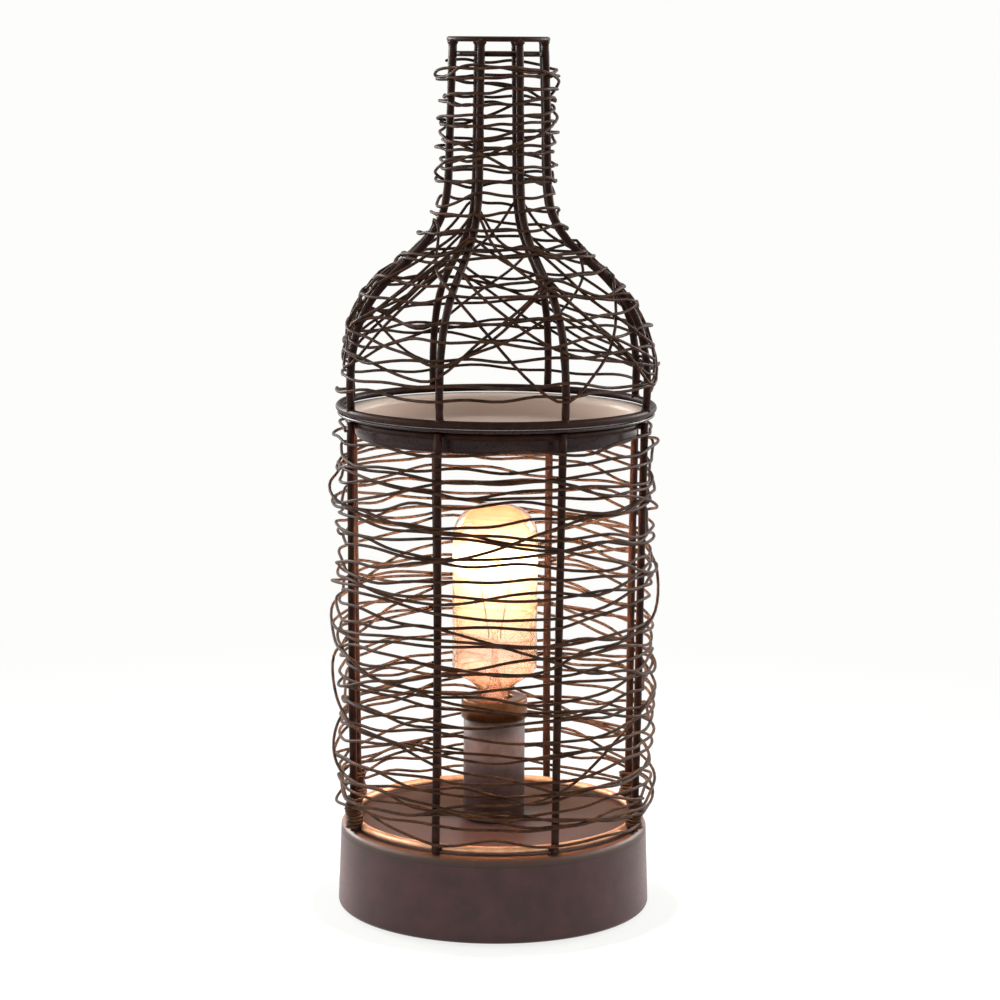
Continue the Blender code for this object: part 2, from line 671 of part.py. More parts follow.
def make_strap(body, steel):
    """The bent strap that holds the socket up: a ring on the nipple, a leg, and an arm under the socket."""
    foot_outline = [
        (NIPPLE_RADIUS + GAP, STRAP_BOTTOM + STRAP_METAL),
        (STRAP_FOOT_RADIUS, STRAP_BOTTOM + STRAP_METAL),
        (STRAP_FOOT_RADIUS, STRAP_BOTTOM),
        (NIPPLE_RADIUS + GAP, STRAP_BOTTOM),
    ]
    strap = turned("socket_strap", foot_outline, body, steel, closed=True, sides=SMALL_ROUND)

    half = 0.5 * STRAP_WIDTH
    leg_outer = math.sqrt((SLEEVE_RADIUS - SLEEVE_METAL - GAP) ** 2 - half ** 2) - GAP
    leg_inner = leg_outer - STRAP_METAL
    arm_top = STRAP_BOTTOM + STRAP_ARM
    side = [
        (0.5 * (STRAP_FOOT_RADIUS + NIPPLE_RADIUS + GAP), STRAP_BOTTOM),
        (leg_outer, STRAP_BOTTOM),
        (leg_outer, arm_top),
        (-RIVET_HEAD - STRAP_METAL, arm_top),
        (-RIVET_HEAD - STRAP_METAL, arm_top - STRAP_METAL),
        (leg_inner, arm_top - STRAP_METAL),
        (leg_inner, STRAP_BOTTOM + STRAP_METAL),
        (0.5 * (STRAP_FOOT_RADIUS + NIPPLE_RADIUS + GAP), STRAP_BOTTOM + STRAP_METAL),
    ]
    leg = prism("strap_leg", side, -half, half, body, steel)
    leg.rotation_euler = (math.pi / 2, 0.0, 0.0)
    combine(strap, leg, "UNION")
    hole = RIVET_RADIUS + GAP
    drill_outline = [(0.0, arm_top + GAP), (hole, arm_top + GAP)]
    drill_outline += [(hole, arm_top - STRAP_METAL - GAP), (0.0, arm_top - STRAP_METAL - GAP)]
    drill = turned("strap_drill", drill_outline, body, steel, closed=False, sides=TINY_ROUND)
    combine(strap, drill, "DIFFERENCE")


def make_socket(body, brass, steel, socket_plastic):
    """The socket: insulating body, threaded shell, centre contact, rivet and two terminal screws."""
    top = COLLAR_TOP - COLLAR_ROOF - GAP
    floor = SOCKET_BOTTOM + SOCKET_FLOOR
    rivet_hole = RIVET_RADIUS + GAP
    outline = [(SOCKET_BORE, top)]
    outline += arc((SOCKET_RADIUS - SOCKET_EDGE, top - SOCKET_EDGE), SOCKET_EDGE, 90.0, 0.0, 2)
    outline += [
        (SOCKET_RADIUS, SOCKET_BOTTOM),
        (rivet_hole, SOCKET_BOTTOM),
        (rivet_hole, floor - RIVET_COVER),
        (0.0, floor - RIVET_COVER),
    ]
    outline = [(0.0, floor), (SOCKET_BORE, floor)] + outline
    socket = turned("socket_body", outline, body, socket_plastic, closed=False, sides=24)

    shell_outer = SOCKET_BORE - GAP
    shell_inner = shell_outer - SCREW_SHELL_METAL
    shell_bottom = floor + GAP
    shell_outline = [
        (shell_inner, top - SCREW_SHELL_DROP),
        (shell_outer, top - SCREW_SHELL_DROP),
        (shell_outer, shell_bottom),
        (shell_inner, shell_bottom),
    ]
    turned("socket_screw_shell", shell_outline, body, brass, closed=True, sides=24)

    contact_outline = [
        (0.0, CONTACT_BOTTOM + CONTACT_METAL),
        (CONTACT_RADIUS, CONTACT_BOTTOM + CONTACT_METAL),
        (CONTACT_RADIUS, CONTACT_BOTTOM),
        (0.0, CONTACT_BOTTOM),
    ]
    turned("centre_contact", contact_outline, body, brass, closed=False, sides=TINY_ROUND)

    arm_bottom = STRAP_BOTTOM + STRAP_ARM - STRAP_METAL
    rivet_length = floor - RIVET_COVER - arm_bottom
    rivet_outline = screw_outline(RIVET_RADIUS, RIVET_HEAD, RIVET_HEAD_HEIGHT, rivet_length)
    turned(
        "strap_rivet", rivet_outline, body, steel, closed=False, sides=TINY_ROUND, height=arm_bottom - GAP)

    hole = TERMINAL_SHANK + GAP
    outline = screw_outline(TERMINAL_SHANK, TERMINAL_HEAD, TERMINAL_HEAD_HEIGHT, TERMINAL_LENGTH)
    drill_outline = [(0.0, TERMINAL_LENGTH), (hole, TERMINAL_LENGTH)]
    drill_outline += [(hole, -TERMINAL_HEAD_HEIGHT), (0.0, -TERMINAL_HEAD_HEIGHT)]
    for name, turn in (("terminal_screw_left", -math.pi / 2), ("terminal_screw_right", math.pi / 2)):
        terminal = turned(name, outline, body, brass, closed=False, sides=TINY_ROUND)
        terminal.rotation_euler = (turn, 0.0, 0.0)
        side = math.copysign(1.0, turn)
        terminal.location = (0.0, side * (SOCKET_RADIUS + GAP), SOCKET_BOTTOM + TERMINAL_HEIGHT)
        drill = turned(f"{name}_drill", drill_outline, body, steel, closed=False, sides=TINY_ROUND)
        drill.rotation_euler = terminal.rotation_euler
        drill.location = (0.0, side * SOCKET_RADIUS, SOCKET_BOTTOM + TERMINAL_HEIGHT)
        combine(socket, drill, "DIFFERENCE")


def make_lamp(body, glass, brass, steel, filament_metal):
    """The lamp: glass envelope, threaded cap, end contact, stem, two supports and the filament."""
    cap_inner = LAMP_CAP_RADIUS - 2 * LAMP_CAP_METAL
    root = LAMP_CAP_RADIUS - LAMP_CAP_METAL
    cap_outline = [(0.0, CAP_BOTTOM + LAMP_CAP_METAL), (cap_inner, CAP_BOTTOM + LAMP_CAP_METAL)]
    cap_outline += [(cap_inner, CAP_TOP), (LAMP_CAP_RADIUS, CAP_TOP)]
    thread_top = CAP_TOP - LAMP_THREAD_START
    for index in range(LAMP_THREAD_TURNS):
        cap_outline += [
            (root, thread_top - index * LAMP_THREAD_PITCH),
            (LAMP_CAP_RADIUS, thread_top - (index + 0.5) * LAMP_THREAD_PITCH),
        ]
    cap_outline += [(root, thread_top - LAMP_THREAD_TURNS * LAMP_THREAD_PITCH)]
    cap_outline += [(LAMP_TIP_RADIUS, CAP_BOTTOM), (0.0, CAP_BOTTOM)]
    turned("lamp_cap", cap_outline, body, brass, closed=False, sides=SMALL_ROUND)

    tip_outline = [(0.0, CAP_BOTTOM - GAP), (LAMP_TIP_RADIUS, CAP_BOTTOM - GAP)]
    tip_outline += [(0.5 * LAMP_TIP_RADIUS, LAMP_BOTTOM), (0.0, LAMP_BOTTOM)]
    turned("lamp_end_contact", tip_outline, body, steel, closed=False, sides=TINY_ROUND)

    shoulder = GLASS_BOTTOM + LAMP_SHOULDER
    outer = [(0.0, GLASS_TOP)]
    for angle in np.linspace(math.pi / 2, 0.0, 6)[1:]:
        lift = LAMP_DOME * (math.sin(angle) - 1.0)
        outer.append((LAMP_RADIUS * math.cos(angle) ** 0.75, GLASS_TOP + lift))
    neck_top = GLASS_BOTTOM + LAMP_NECK_LENGTH
    for share in np.linspace(0.0, 1.0, 6):
        swell = 0.5 + 0.5 * math.cos(math.pi * share)
        outer.append((
            LAMP_NECK + (LAMP_RADIUS - LAMP_NECK) * swell,
            shoulder + (neck_top - shoulder) * share))
    outer.append((LAMP_NECK, GLASS_BOTTOM))
    inner = [(LAMP_NECK - LAMP_GLASS, GLASS_BOTTOM)]
    for radius, level in outer[-2:0:-1]:
        lift = LAMP_GLASS * (level - neck_top) / (GLASS_TOP - neck_top)
        inner.append((radius - LAMP_GLASS, level - max(0.0, lift)))
    inner.append((0.0, GLASS_TOP - LAMP_GLASS))
    turned("lamp_glass", outer + inner, body, glass, closed=False, sides=SMALL_ROUND)

    stem_top = GLASS_BOTTOM + STEM_HEIGHT
    waist = 0.5 * (stem_top - STEM_HEAD + GLASS_BOTTOM)
    stem_outline = [
        (0.0, stem_top),
        (STEM_RADIUS, stem_top),
        (STEM_HEAD_RADIUS, stem_top - 0.5 * STEM_HEAD),
        (STEM_RADIUS, stem_top - STEM_HEAD),
        (STEM_RADIUS, waist),
        (STEM_FLARE, GLASS_BOTTOM + STEM_FLARE_HEIGHT),
        (LAMP_NECK - LAMP_GLASS - GAP, GLASS_BOTTOM + GAP),
        (0.0, GLASS_BOTTOM + GAP),
    ]
    turned("lamp_stem", stem_outline, body, glass, closed=False, sides=TINY_ROUND)

    top = GLASS_BOTTOM + FILAMENT_HEIGHT
    foot = stem_top - 0.5 * STEM_HEAD
    foot_radius = STEM_HEAD_RADIUS + GAP + SUPPORT_WIRE
    head_radius = 0.5 * FILAMENT_SPAN + GAP + 2 * SUPPORT_WIRE
    for name, side in (("filament_support_left", -1.0), ("filament_support_right", 1.0)):
        points = [
            Vector((side * foot_radius, 0.0, foot - SUPPORT_FOOT)),
            Vector((side * foot_radius, 0.0, foot)),
            Vector((side * head_radius, 0.0, top - SUPPORT_HEAD)),
            Vector((side * head_radius, 0.0, top + 2 * SUPPORT_WIRE)),
        ]
        tube(name, points, SUPPORT_WIRE, body, steel, resolution=0)
    zigzag = []
    for index in range(2 * FILAMENT_TURNS + 1):
        across = FILAMENT_SPAN * (0.5 * index / FILAMENT_TURNS - 0.5)
        zigzag.append(Vector((across, 0.0, top - (index % 2) * FILAMENT_DROP)))
    tube("filament", zigzag, FILAMENT_WIRE, body, filament_metal, resolution=0)


def main():
    """Build the whole warmer."""
    clear_scene()
    bronze = make_material("bronze_paint", (0.045, 0.030, 0.026), 0.65, 0.42)
    cage_paint = make_material("cage_wire", (0.022, 0.013, 0.010), 0.60, 0.45)
    dish_paint = make_material("dish_enamel", (0.050, 0.036, 0.034), 0.55, 0.38)
    plate_paint = make_material("bottom_plate", (0.030, 0.028, 0.027), 0.30, 0.55)
    steel = make_material("plated_steel", (0.560, 0.560, 0.570), 1.0, 0.35)
    brass = make_material("copper_brass", (0.520, 0.270, 0.130), 1.0, 0.38)
    rubber = make_material("black_rubber", (0.020, 0.020, 0.020), 0.0, 0.80)
    socket_plastic = make_material("socket_plastic", (0.030, 0.024, 0.020), 0.0, 0.50)
    glass = make_material("lamp_glass", (0.950, 0.900, 0.800), 0.0, 0.05, alpha=0.35)
    filament_metal = make_material("lit_filament", (1.000, 0.780, 0.450), 0.0, 0.50, glow=8.0)

    base = add_empty("base_body", 0.0)
    dish = add_empty("dish_body", DISH_SEAT, base)
    lid = add_empty("lid_body", FLANGE_TOP, dish)
    lamp = add_empty("lamp_body", LAMP_BOTTOM, base)

    make_base(base, bronze, steel, rubber, plate_paint)
    make_holder(base, bronze, steel, brass, socket_plastic)
    make_cage(base, cage_paint)
    make_dish(dish, dish_paint)
    make_lid(lid, cage_paint)
    make_lamp(lamp, glass, brass, steel, filament_metal)


main()
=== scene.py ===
# %% [markdown]
# # A bottle-shaped wire wax warmer
# The real object is a spun metal base with a lamp on it, a cage of iron rods wound with thin wire, a
# shallow dish that hangs in the top of the cage, and a second cage, the bottle's shoulder and neck, that
# stands on the dish as a lid. The CAD model gives every size and place. This script loads it as a fixed
# frame and builds the looks around it, in metres, with +Z up and the front towards -Y.

import math

import bpy
import numpy as np
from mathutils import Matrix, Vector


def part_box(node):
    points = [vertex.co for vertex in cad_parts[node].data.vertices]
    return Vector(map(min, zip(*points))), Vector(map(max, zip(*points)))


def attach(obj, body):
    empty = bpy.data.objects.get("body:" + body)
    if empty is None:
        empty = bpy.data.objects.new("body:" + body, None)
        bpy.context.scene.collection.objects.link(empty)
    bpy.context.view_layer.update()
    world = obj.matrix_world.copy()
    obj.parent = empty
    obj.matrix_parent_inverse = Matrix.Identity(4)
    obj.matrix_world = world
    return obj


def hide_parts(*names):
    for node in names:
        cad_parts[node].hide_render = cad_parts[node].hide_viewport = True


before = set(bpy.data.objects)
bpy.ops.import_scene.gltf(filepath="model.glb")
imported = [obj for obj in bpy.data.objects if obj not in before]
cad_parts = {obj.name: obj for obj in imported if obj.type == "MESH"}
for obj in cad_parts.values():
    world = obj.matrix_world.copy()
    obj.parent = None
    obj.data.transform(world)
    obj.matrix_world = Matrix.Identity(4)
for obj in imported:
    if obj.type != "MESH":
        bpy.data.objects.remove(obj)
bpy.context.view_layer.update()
MM = 0.001

# %% [markdown]
# ## Camera
# The photograph was taken from just under the height of the bottle's mouth, looking slightly down, with a
# long lens, so the rings are thin ellipses. Place, pitch and a small roll were fitted to the rings' rims.

# %% Camera
CAMERA_PLACE = (1.7 * MM, -1120 * MM, 336 * MM)
CAMERA_PITCH = math.radians(8.93)
CAMERA_ROLL = math.radians(0.37)
CAMERA_LENS = 105.66


def add_object(name, data):
    """A new object that shows the data, linked into the scene."""
    made = bpy.data.objects.new(name, data)
    bpy.context.scene.collection.objects.link(made)
    return made


camera_data = bpy.data.cameras.new("studio_camera")
camera_data.lens = CAMERA_LENS
camera_data.sensor_width = 36.0
camera = add_object("studio_camera", camera_data)
camera.location = CAMERA_PLACE
camera.rotation_mode = "XYZ"
camera.rotation_euler = (math.pi / 2 - CAMERA_PITCH, 0.0, 0.0)
camera.rotation_euler.rotate_axis("Z", CAMERA_ROLL)
bpy.context.scene.camera = camera
print("Camera pitch in degrees:", round(math.degrees(CAMERA_PITCH), 2))

# %% [markdown]
# ## Colours and nodes
# Colours are written as the hex values that a screen shows. Shaders work in linear light, so one function
# turns a hex value into linear numbers. A second function adds any shader node with its settings and links.

# %% Colour and node helpers
def linear(hex_colour):
    """Linear RGBA from an sRGB hex value: ((c + 0.055) / 1.055) to the power 2.4 above the dark toe."""
    channels = np.array([int(hex_colour[start:start + 2], 16) for start in (0, 2, 4)]) / 255
    toe = channels / 12.92
    curve = ((channels + 0.055) / 1.055) ** 2.4
    return (*np.where(channels <= 0.04045, toe, curve).tolist(), 1.0)


def add_node(tree, kind, inputs=None, **settings):
    """Add one shader node, set its properties, and set or link its inputs, a node by its first output."""
    made = tree.nodes.new("ShaderNode" + kind)
    for name, value in settings.items():
        setattr(made, name, value)
    for name, value in (inputs or {}).items():
        if isinstance(value, bpy.types.Node):
            value = value.outputs[0]
        if isinstance(value, bpy.types.NodeSocket):
            tree.links.new(value, made.inputs[name])
        else:
            made.inputs[name].default_value = value
    return made


def new_material(name, **constants):
    """A material with a Principled shader and its constant sockets set. Gives material, tree and shader."""
    material = bpy.data.materials.new(name)
    material.use_nodes = True
    tree = material.node_tree
    shader = tree.nodes["Principled BSDF"]
    for socket, value in constants.items():
        shader.inputs[socket.replace("_", " ")].default_value = value
    return material, tree, shader


# %% [markdown]
# ## A finish with patches and grain
# Paint, lacquer and plating could each be one flat colour, but real coats vary. One function mixes two
# close colours in soft patches and lets a finer grain vary the gloss and raise a slight bump. The widths of
# both patterns are real sizes in millimetres.

# %% Mottled finish
# Noise values between which one colour or roughness gives way to the other
PATCH_ENDS = (0.35, 0.68)
GRAIN_ENDS = (0.3, 0.7)


def mottled_finish(name, dark, light, patch_mm, grain_mm, bump_mm, rough, **constants):
    """A painted or plated surface: two colours in soft patches, uneven gloss, and a fine grain as bump."""
    material, tree, shader = new_material(name, **constants)
    place = add_node(tree, "TexCoord").outputs["Object"]
    patches = add_node(tree, "TexNoise",
                       {"Vector": place, "Scale": 1 / (patch_mm * MM), "Detail": 4.0, "Roughness": 0.6})
    grain = add_node(tree, "TexNoise", {"Vector": place, "Scale": 1 / (grain_mm * MM), "Detail": 2.0})
    ramp = add_node(tree, "ValToRGB", {"Fac": patches})
    for element, end, colour in zip(ramp.color_ramp.elements, PATCH_ENDS, (dark, light)):
        element.position = end
        element.color = linear(colour)
    gloss = add_node(tree, "MapRange",
                     {"Value": grain, "From Min": GRAIN_ENDS[0], "From Max": GRAIN_ENDS[1],
                      "To Min": rough[0], "To Max": rough[1]})
    bump = add_node(tree, "Bump", {"Height": grain, "Distance": bump_mm * MM, "Strength": 1.0})
    tree.links.new(ramp.outputs["Color"], shader.inputs["Base Color"])
    tree.links.new(gloss.outputs["Result"], shader.inputs["Roughness"])
    tree.links.new(bump.outputs["Normal"], shader.inputs["Normal"])
    return material


# %% [markdown]
# ## Studio
# The photograph's background is a pure pale white. The floor and the world are therefore white to the
# camera, to reflections and to glass, while the object gets a dimmer light from the world.

# %% Studio world
BACKDROP = linear("FDFDFB")
ROOM_LIGHT = 0.55


def seen_directly(tree):
    """A factor that is 1 where a ray comes from the camera, a reflection or glass."""
    path = add_node(tree, "LightPath")
    seen = 0.0
    for ray in ("Is Camera Ray", "Is Glossy Ray", "Is Transmission Ray"):
        seen = add_node(tree, "Math", {0: path.outputs[ray], 1: seen}, operation="MAXIMUM")
    return seen


world = bpy.data.worlds.new("studio_world")
bpy.context.scene.world = world
world.use_nodes = True
sky = world.node_tree
sky.nodes.clear()
shown = add_node(sky, "Background", {"Color": BACKDROP, "Strength": 1.0})
given = add_node(sky, "Background", {"Color": linear("FFFFFF"), "Strength": ROOM_LIGHT})
both = add_node(sky, "MixShader", {0: seen_directly(sky), 1: given, 2: shown})
add_node(sky, "OutputWorld", {"Surface": both})
print("World light:", ROOM_LIGHT)

# %% [markdown]
# ## Floor
# The floor is a plain square. Near the object part of its white gives way to a matt surface that shows the
# object's soft shadow, and further out it melts into the background.

# %% Studio floor
FLOOR_SIZE = 8.0
# Two distances from the axis in metres, and the shares of white there
SHADOW_REACH = (0.08, 0.55)
SHADOW_SHARE = (0.80, 1.0)

floor_material = bpy.data.materials.new("studio_floor_white")
floor_material.use_nodes = True
ground = floor_material.node_tree
ground.nodes.clear()
matt = add_node(ground, "BsdfDiffuse", {"Color": linear("F4F4F2")})
white = add_node(ground, "Emission", {"Color": BACKDROP, "Strength": 1.0})
spot = add_node(ground, "TexCoord").outputs["Object"]
away = add_node(ground, "VectorMath", {0: spot}, operation="LENGTH").outputs["Value"]
whiteness = add_node(ground, "MapRange",
                     {"Value": away, "From Min": SHADOW_REACH[0], "From Max": SHADOW_REACH[1],
                      "To Min": SHADOW_SHARE[0], "To Max": SHADOW_SHARE[1]}, interpolation_type="SMOOTHSTEP")
share = add_node(ground, "Math", {0: seen_directly(ground), 1: whiteness}, operation="MULTIPLY")
blended = add_node(ground, "MixShader", {0: share, 1: matt, 2: white})
add_node(ground, "OutputMaterial", {"Surface": blended})

half = FLOOR_SIZE / 2
floor_corners = [(-half, -half, 0), (half, -half, 0), (half, half, 0), (-half, half, 0)]
floor_mesh = bpy.data.meshes.new("studio_floor")
floor_mesh.from_pydata(floor_corners, [], [(0, 1, 2, 3)])
floor = add_object("studio_floor", floor_mesh)
floor_mesh.materials.append(floor_material)
print("Floor side in metres:", FLOOR_SIZE)

# %% [markdown]
# ## Lamps
# Five soft lamps light the object at a plain level: one at each side, one above, and two smaller ones
# behind it, which draw the pale edges that the base has at both sides in the photograph.

# %% Soft lamps
# Name, place, height that the lamp faces on the axis, side of the lamp, and power, in metres and watts
studio_lamps = (
    ("lamp_left", (-1.3, -0.1, 0.6), 0.15, 0.9, 13.0),
    ("lamp_right", (1.3, -0.1, 0.6), 0.15, 0.9, 10.0),
    ("lamp_top", (0.0, 0.3, 1.5), 0.17, 0.9, 7.0),
    ("rim_left", (-1.0, 0.9, 0.5), 0.12, 0.5, 16.0),
    ("rim_right", (1.1, 0.8, 0.5), 0.12, 0.5, 12.5),
)


def add_soft_lamp(name, place, faced_height, side, power):
    """A square area lamp that faces a point on the object's axis."""
    data = bpy.data.lights.new(name, "AREA")
    data.size = side
    data.energy = power
    lamp = add_object(name, data)
    lamp.location = place
    direction = np.array((0.0, 0.0, faced_height)) - np.array(place)
    flat = math.hypot(direction[0], direction[1])
    lamp.rotation_euler = (math.atan2(flat, -direction[2]), 0.0, math.atan2(-direction[0], direction[1]))


for studio_lamp in studio_lamps:
    add_soft_lamp(*studio_lamp)
print("Studio lamps:", len(studio_lamps))

# %% [markdown]
# ## Light from the lit lamp
# The lamp is switched on and warms the inner side of the cage, the collar and the base's top, which is why
# the wires at the back look tan and those in front dark. A glowing filament hardly lights anything through
# glass in this renderer, so a round light a few millimetres wider than the glass stands in for it. The
# camera doesn't see it.

# %% Light of the filament
LAMP_LIGHT_RADIUS = 0.021
LAMP_LIGHT_POWER = 16.0
LAMP_LIGHT_COLOUR = "FFE6CC"
lamp_light = bpy.data.lights.new("lit_lamp_light", "POINT")
lamp_light.energy = LAMP_LIGHT_POWER
lamp_light.color = linear(LAMP_LIGHT_COLOUR)[:3]
lamp_light.shadow_soft_size = LAMP_LIGHT_RADIUS
lit_lamp = add_object("lit_lamp_light", lamp_light)
lit_lamp.location = (0.0, 0.0, np.mean([corner[2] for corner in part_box("filament")]))
lit_lamp.visible_camera = False
lit_lamp.visible_transmission = False
lit_lamp.visible_glossy = False
print("Filament height in mm:", round(lit_lamp.location.z / MM, 1))

# %% [markdown]
# ## Meshes from arrays
# Every new shape is a grid of points worked out with numpy, whose neighbours make four-sided faces. A row
# that lies on the axis becomes a single point, so a dome or a floor closes without a hole. If the faces
# turn out to point inwards, all are turned round.

# %% Grid surfaces
def grid_faces(rows, columns, wrap_rows, wrap_columns):
    """Corner numbers of the quads between neighbouring points of a grid."""
    row = np.arange(rows if wrap_rows else rows - 1)[:, None]
    column = np.arange(columns if wrap_columns else columns - 1)[None, :]
    next_row = (row + 1) % rows
    next_column = (column + 1) % columns
    corners = [row * columns + column, row * columns + next_column,
               next_row * columns + next_column, next_row * columns + column]
    return np.stack(np.broadcast_arrays(*corners), axis=-1).reshape(-1, 4)


def facing_out(points, faces):
    """The faces, all turned round if their signed volume, the sum of wedges from the origin, is negative."""
    a, b, c, d = (points[faces[:, index]] for index in range(4))
    wedge = np.einsum("ij,ij->i", a, np.cross(b, c)) + np.einsum("ij,ij->i", a, np.cross(c, d))
    return faces[:, ::-1] if wedge.sum() < 0 else faces


def join(parts):
    """Several pairs of points and faces as one pair, each facing out, with the corner numbers shifted."""
    shifts = np.cumsum([0] + [len(points) for points, _ in parts[:-1]])
    faces = [facing_out(points, faces) + shift for (points, faces), shift in zip(parts, shifts)]
    return np.vstack([points for points, _ in parts]), np.vstack(faces)


def make_piece(name, points, faces, material, body, slot, stands_for=()):
    """Put points and faces into one smooth mesh that rides on a CAD body. A face at a pole loses a corner."""
    faces = facing_out(points, faces)
    points, places = np.unique(np.round(points, 8), axis=0, return_inverse=True)
    faces = places.reshape(-1)[faces]
    kept_corners = faces != np.roll(faces, 1, axis=1)
    polygons = [face[kept].tolist() for face, kept in zip(faces, kept_corners)]
    mesh = bpy.data.meshes.new(name)
    mesh.from_pydata(points.tolist(), [], [face for face in polygons if len(face) > 2])
    mesh.polygons.foreach_set("use_smooth", np.ones(len(mesh.polygons), dtype=bool))
    mesh.materials.append(material)
    mesh.update()
    piece = add_object(name, mesh)
    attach(piece, body)
    if stands_for:
        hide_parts(*stands_for)
    print(name, "faces:", len(mesh.polygons))


# %% [markdown]
# ## Turned shapes
# The base, the dish, the sleeve and the glass were spun, drawn or blown, so each is a profile carried round
# the vertical axis: a list of radius and height in millimetres, with small arcs at its corners.

# %% Profiles and revolving
# Faces round a wide and a slim turned piece
WIDE_SIDES = 192
SLIM_SIDES = 96


def arc(centre, radius, start, end, steps):
    """Points of an arc in the radius and height plane: centre + radius * (cos, sin), angles in degrees."""
    angle = np.radians(np.linspace(start, end, steps + 1))
    return np.column_stack([centre[0] + radius * np.cos(angle), centre[1] + radius * np.sin(angle)])


def revolve(profile_mm, sides):
    """Points and faces of a closed profile turned about Z: (r sin a, -r cos a, z) for every angle a."""
    profile = np.vstack(profile_mm) * MM
    angle = np.linspace(0, 2 * np.pi, sides, endpoint=False)
    radius = profile[:, 0][:, None]
    height = np.broadcast_to(profile[:, 1][:, None], (len(profile), sides))
    points = np.stack([radius * np.sin(angle), -radius * np.cos(angle), height], axis=-1)
    on_axis = profile[0, 0] < 1e-9 and profile[-1, 0] < 1e-9
    return points.reshape(-1, 3), grid_faces(len(profile), sides, not on_axis, True)


# %% [markdown]
# ## Wires and rods
# A wire is a circle carried along a path, which needs two directions square to the path at every point. One
# is a fixed direction with its share along the path taken out, and the other is square to both.

# %% Sweeping a circle along a path
def unit(vectors):
    """Vectors divided by their lengths."""
    return vectors / np.linalg.norm(vectors, axis=1)[:, None]


def sweep(path, radius, reference, sides):
    """Points and faces of a tube: centre + radius * (cos t * across + sin t * upward), with closed ends."""
    along = unit(np.gradient(path, axis=0))
    reference = np.broadcast_to(np.asarray(reference, dtype=float), path.shape)
    upward = unit(reference - np.einsum("ij,ij->i", reference, along)[:, None] * along)
    across = np.cross(along, upward)
    turn = np.linspace(0, 2 * np.pi, sides, endpoint=False)
    radius = np.broadcast_to(np.asarray(radius, dtype=float), len(path))
    cosine, sine = np.cos(turn)[None, :, None], np.sin(turn)[None, :, None]
    circle = cosine * across[:, None, :] + sine * upward[:, None, :]
    points = path[:, None, :] + radius[:, None, None] * circle
    first, last = (np.repeat(path[end], sides, axis=0)[None] for end in (slice(0, 1), slice(-1, None)))
    points = np.concatenate([first, points, last])
    return points.reshape(-1, 3), grid_faces(len(path) + 2, sides, False, True)


def round_the_axis(radius, angle, height):
    """Points from radius, angle from the front (-Y) towards +X, and height."""
    radius, angle, height = np.broadcast_arrays(radius, angle, height)
    return np.stack([radius * np.sin(angle), -radius * np.cos(angle), height], axis=-1)


# %% [markdown]
# ## Finishes
# The base has a satin stoving enamel on steel, a warm brown with a slight orange peel. Rods and wire have a
# brown-black lacquer, rougher and uneven, as the cages are dipped after winding. The collar is brass that the
# lamp's heat has browned. Hidden parts are zinc plate, rolled brass, rubber and moulded phenolic. Each finish
# gives its dark and light colour, then the widths of patches and grain and the height of the bump in
# millimetres, then its lowest and highest roughness.

# %% Painted and rubbed metal
# Satin brown-red paint, whose faint sheen brings a pinkish bloom where the wall turns away
bronze_paint = mottled_finish(
    "stoved_bronze_paint", "2A1012", "3A1A1C", 9.0, 0.9, 0.008, (0.32, 0.42),
    Specular_IOR_Level=0.40, Sheen_Weight=0.12, Sheen_Roughness=0.32, Sheen_Tint=linear("F0A8AC"))
# Thick dipped lacquer: nearly black rods with hardly any highlight
rod_lacquer = mottled_finish(
    "black_brown_rod_lacquer", "1E0F0A", "301A12", 5.0, 0.8, 0.030, (0.34, 0.48), Specular_IOR_Level=0.08)
# The same lacquer run thin over wire: a lighter brown in short uneven stretches
wire_lacquer = mottled_finish(
    "dipped_brown_wire_lacquer", "261912", "472F21", 4.0, 0.7, 0.030, (0.34, 0.50), Specular_IOR_Level=0.06)
# Matt paint: a quiet grey-brown tube that takes the lamp's light evenly
sleeve_paint = mottled_finish(
    "matt_brown_sleeve_paint", "50403C", "685250", 6.0, 0.8, 0.020, (0.42, 0.55), Specular_IOR_Level=0.3)
# Brass with a brown skin: soft coppery reflections under the lamp
collar_brass = mottled_finish(
    "heat_browned_brass", "6A4228", "8A6040", 5.0, 0.7, 0.006, (0.28, 0.40), Metallic=0.9)
# Painted highlight: a light warm metal on the bottom hoop that stands in for the lit lamp's light on it, the
# warm bright line round the base's top
hoop_painted_highlight = mottled_finish(
    "hoop_with_painted_highlight", "C08A68", "D6A684", 5.0, 0.7, 0.003, (0.32, 0.42), Metallic=0.7)
print("Materials with the CAD model's own:", len(bpy.data.materials))

# %% Plated metal, rubber and plastic
# Zinc plate: an even cool grey with a soft metal shine
zinc_plate = mottled_finish(
    "zinc_plated_steel", "8C8F92", "A7A9AA", 4.0, 0.6, 0.004, (0.30, 0.42), Metallic=1.0)
# Rolled brass: yellow, with clearer reflections than the collar's
cap_brass = mottled_finish(
    "rolled_lamp_brass", "A97C45", "C79A5C", 4.0, 0.6, 0.004, (0.22, 0.34), Metallic=1.0)
# Matt black paint: the underside stays dark and flat
plate_paint = mottled_finish("matt_black_plate_paint", "17161A", "232226", 8.0, 0.8, 0.010, (0.5, 0.65))
# Moulded rubber: black without shine
black_rubber = mottled_finish("moulded_black_rubber", "141414", "1E1E1E", 3.0, 0.5, 0.010, (0.7, 0.85))
# Moulded phenolic: dark brown with an even soft gloss
phenolic = mottled_finish("moulded_brown_phenolic", "1C130E", "2B1E17", 5.0, 0.6, 0.004, (0.30, 0.42))
print("Materials so far:", len(bpy.data.materials))
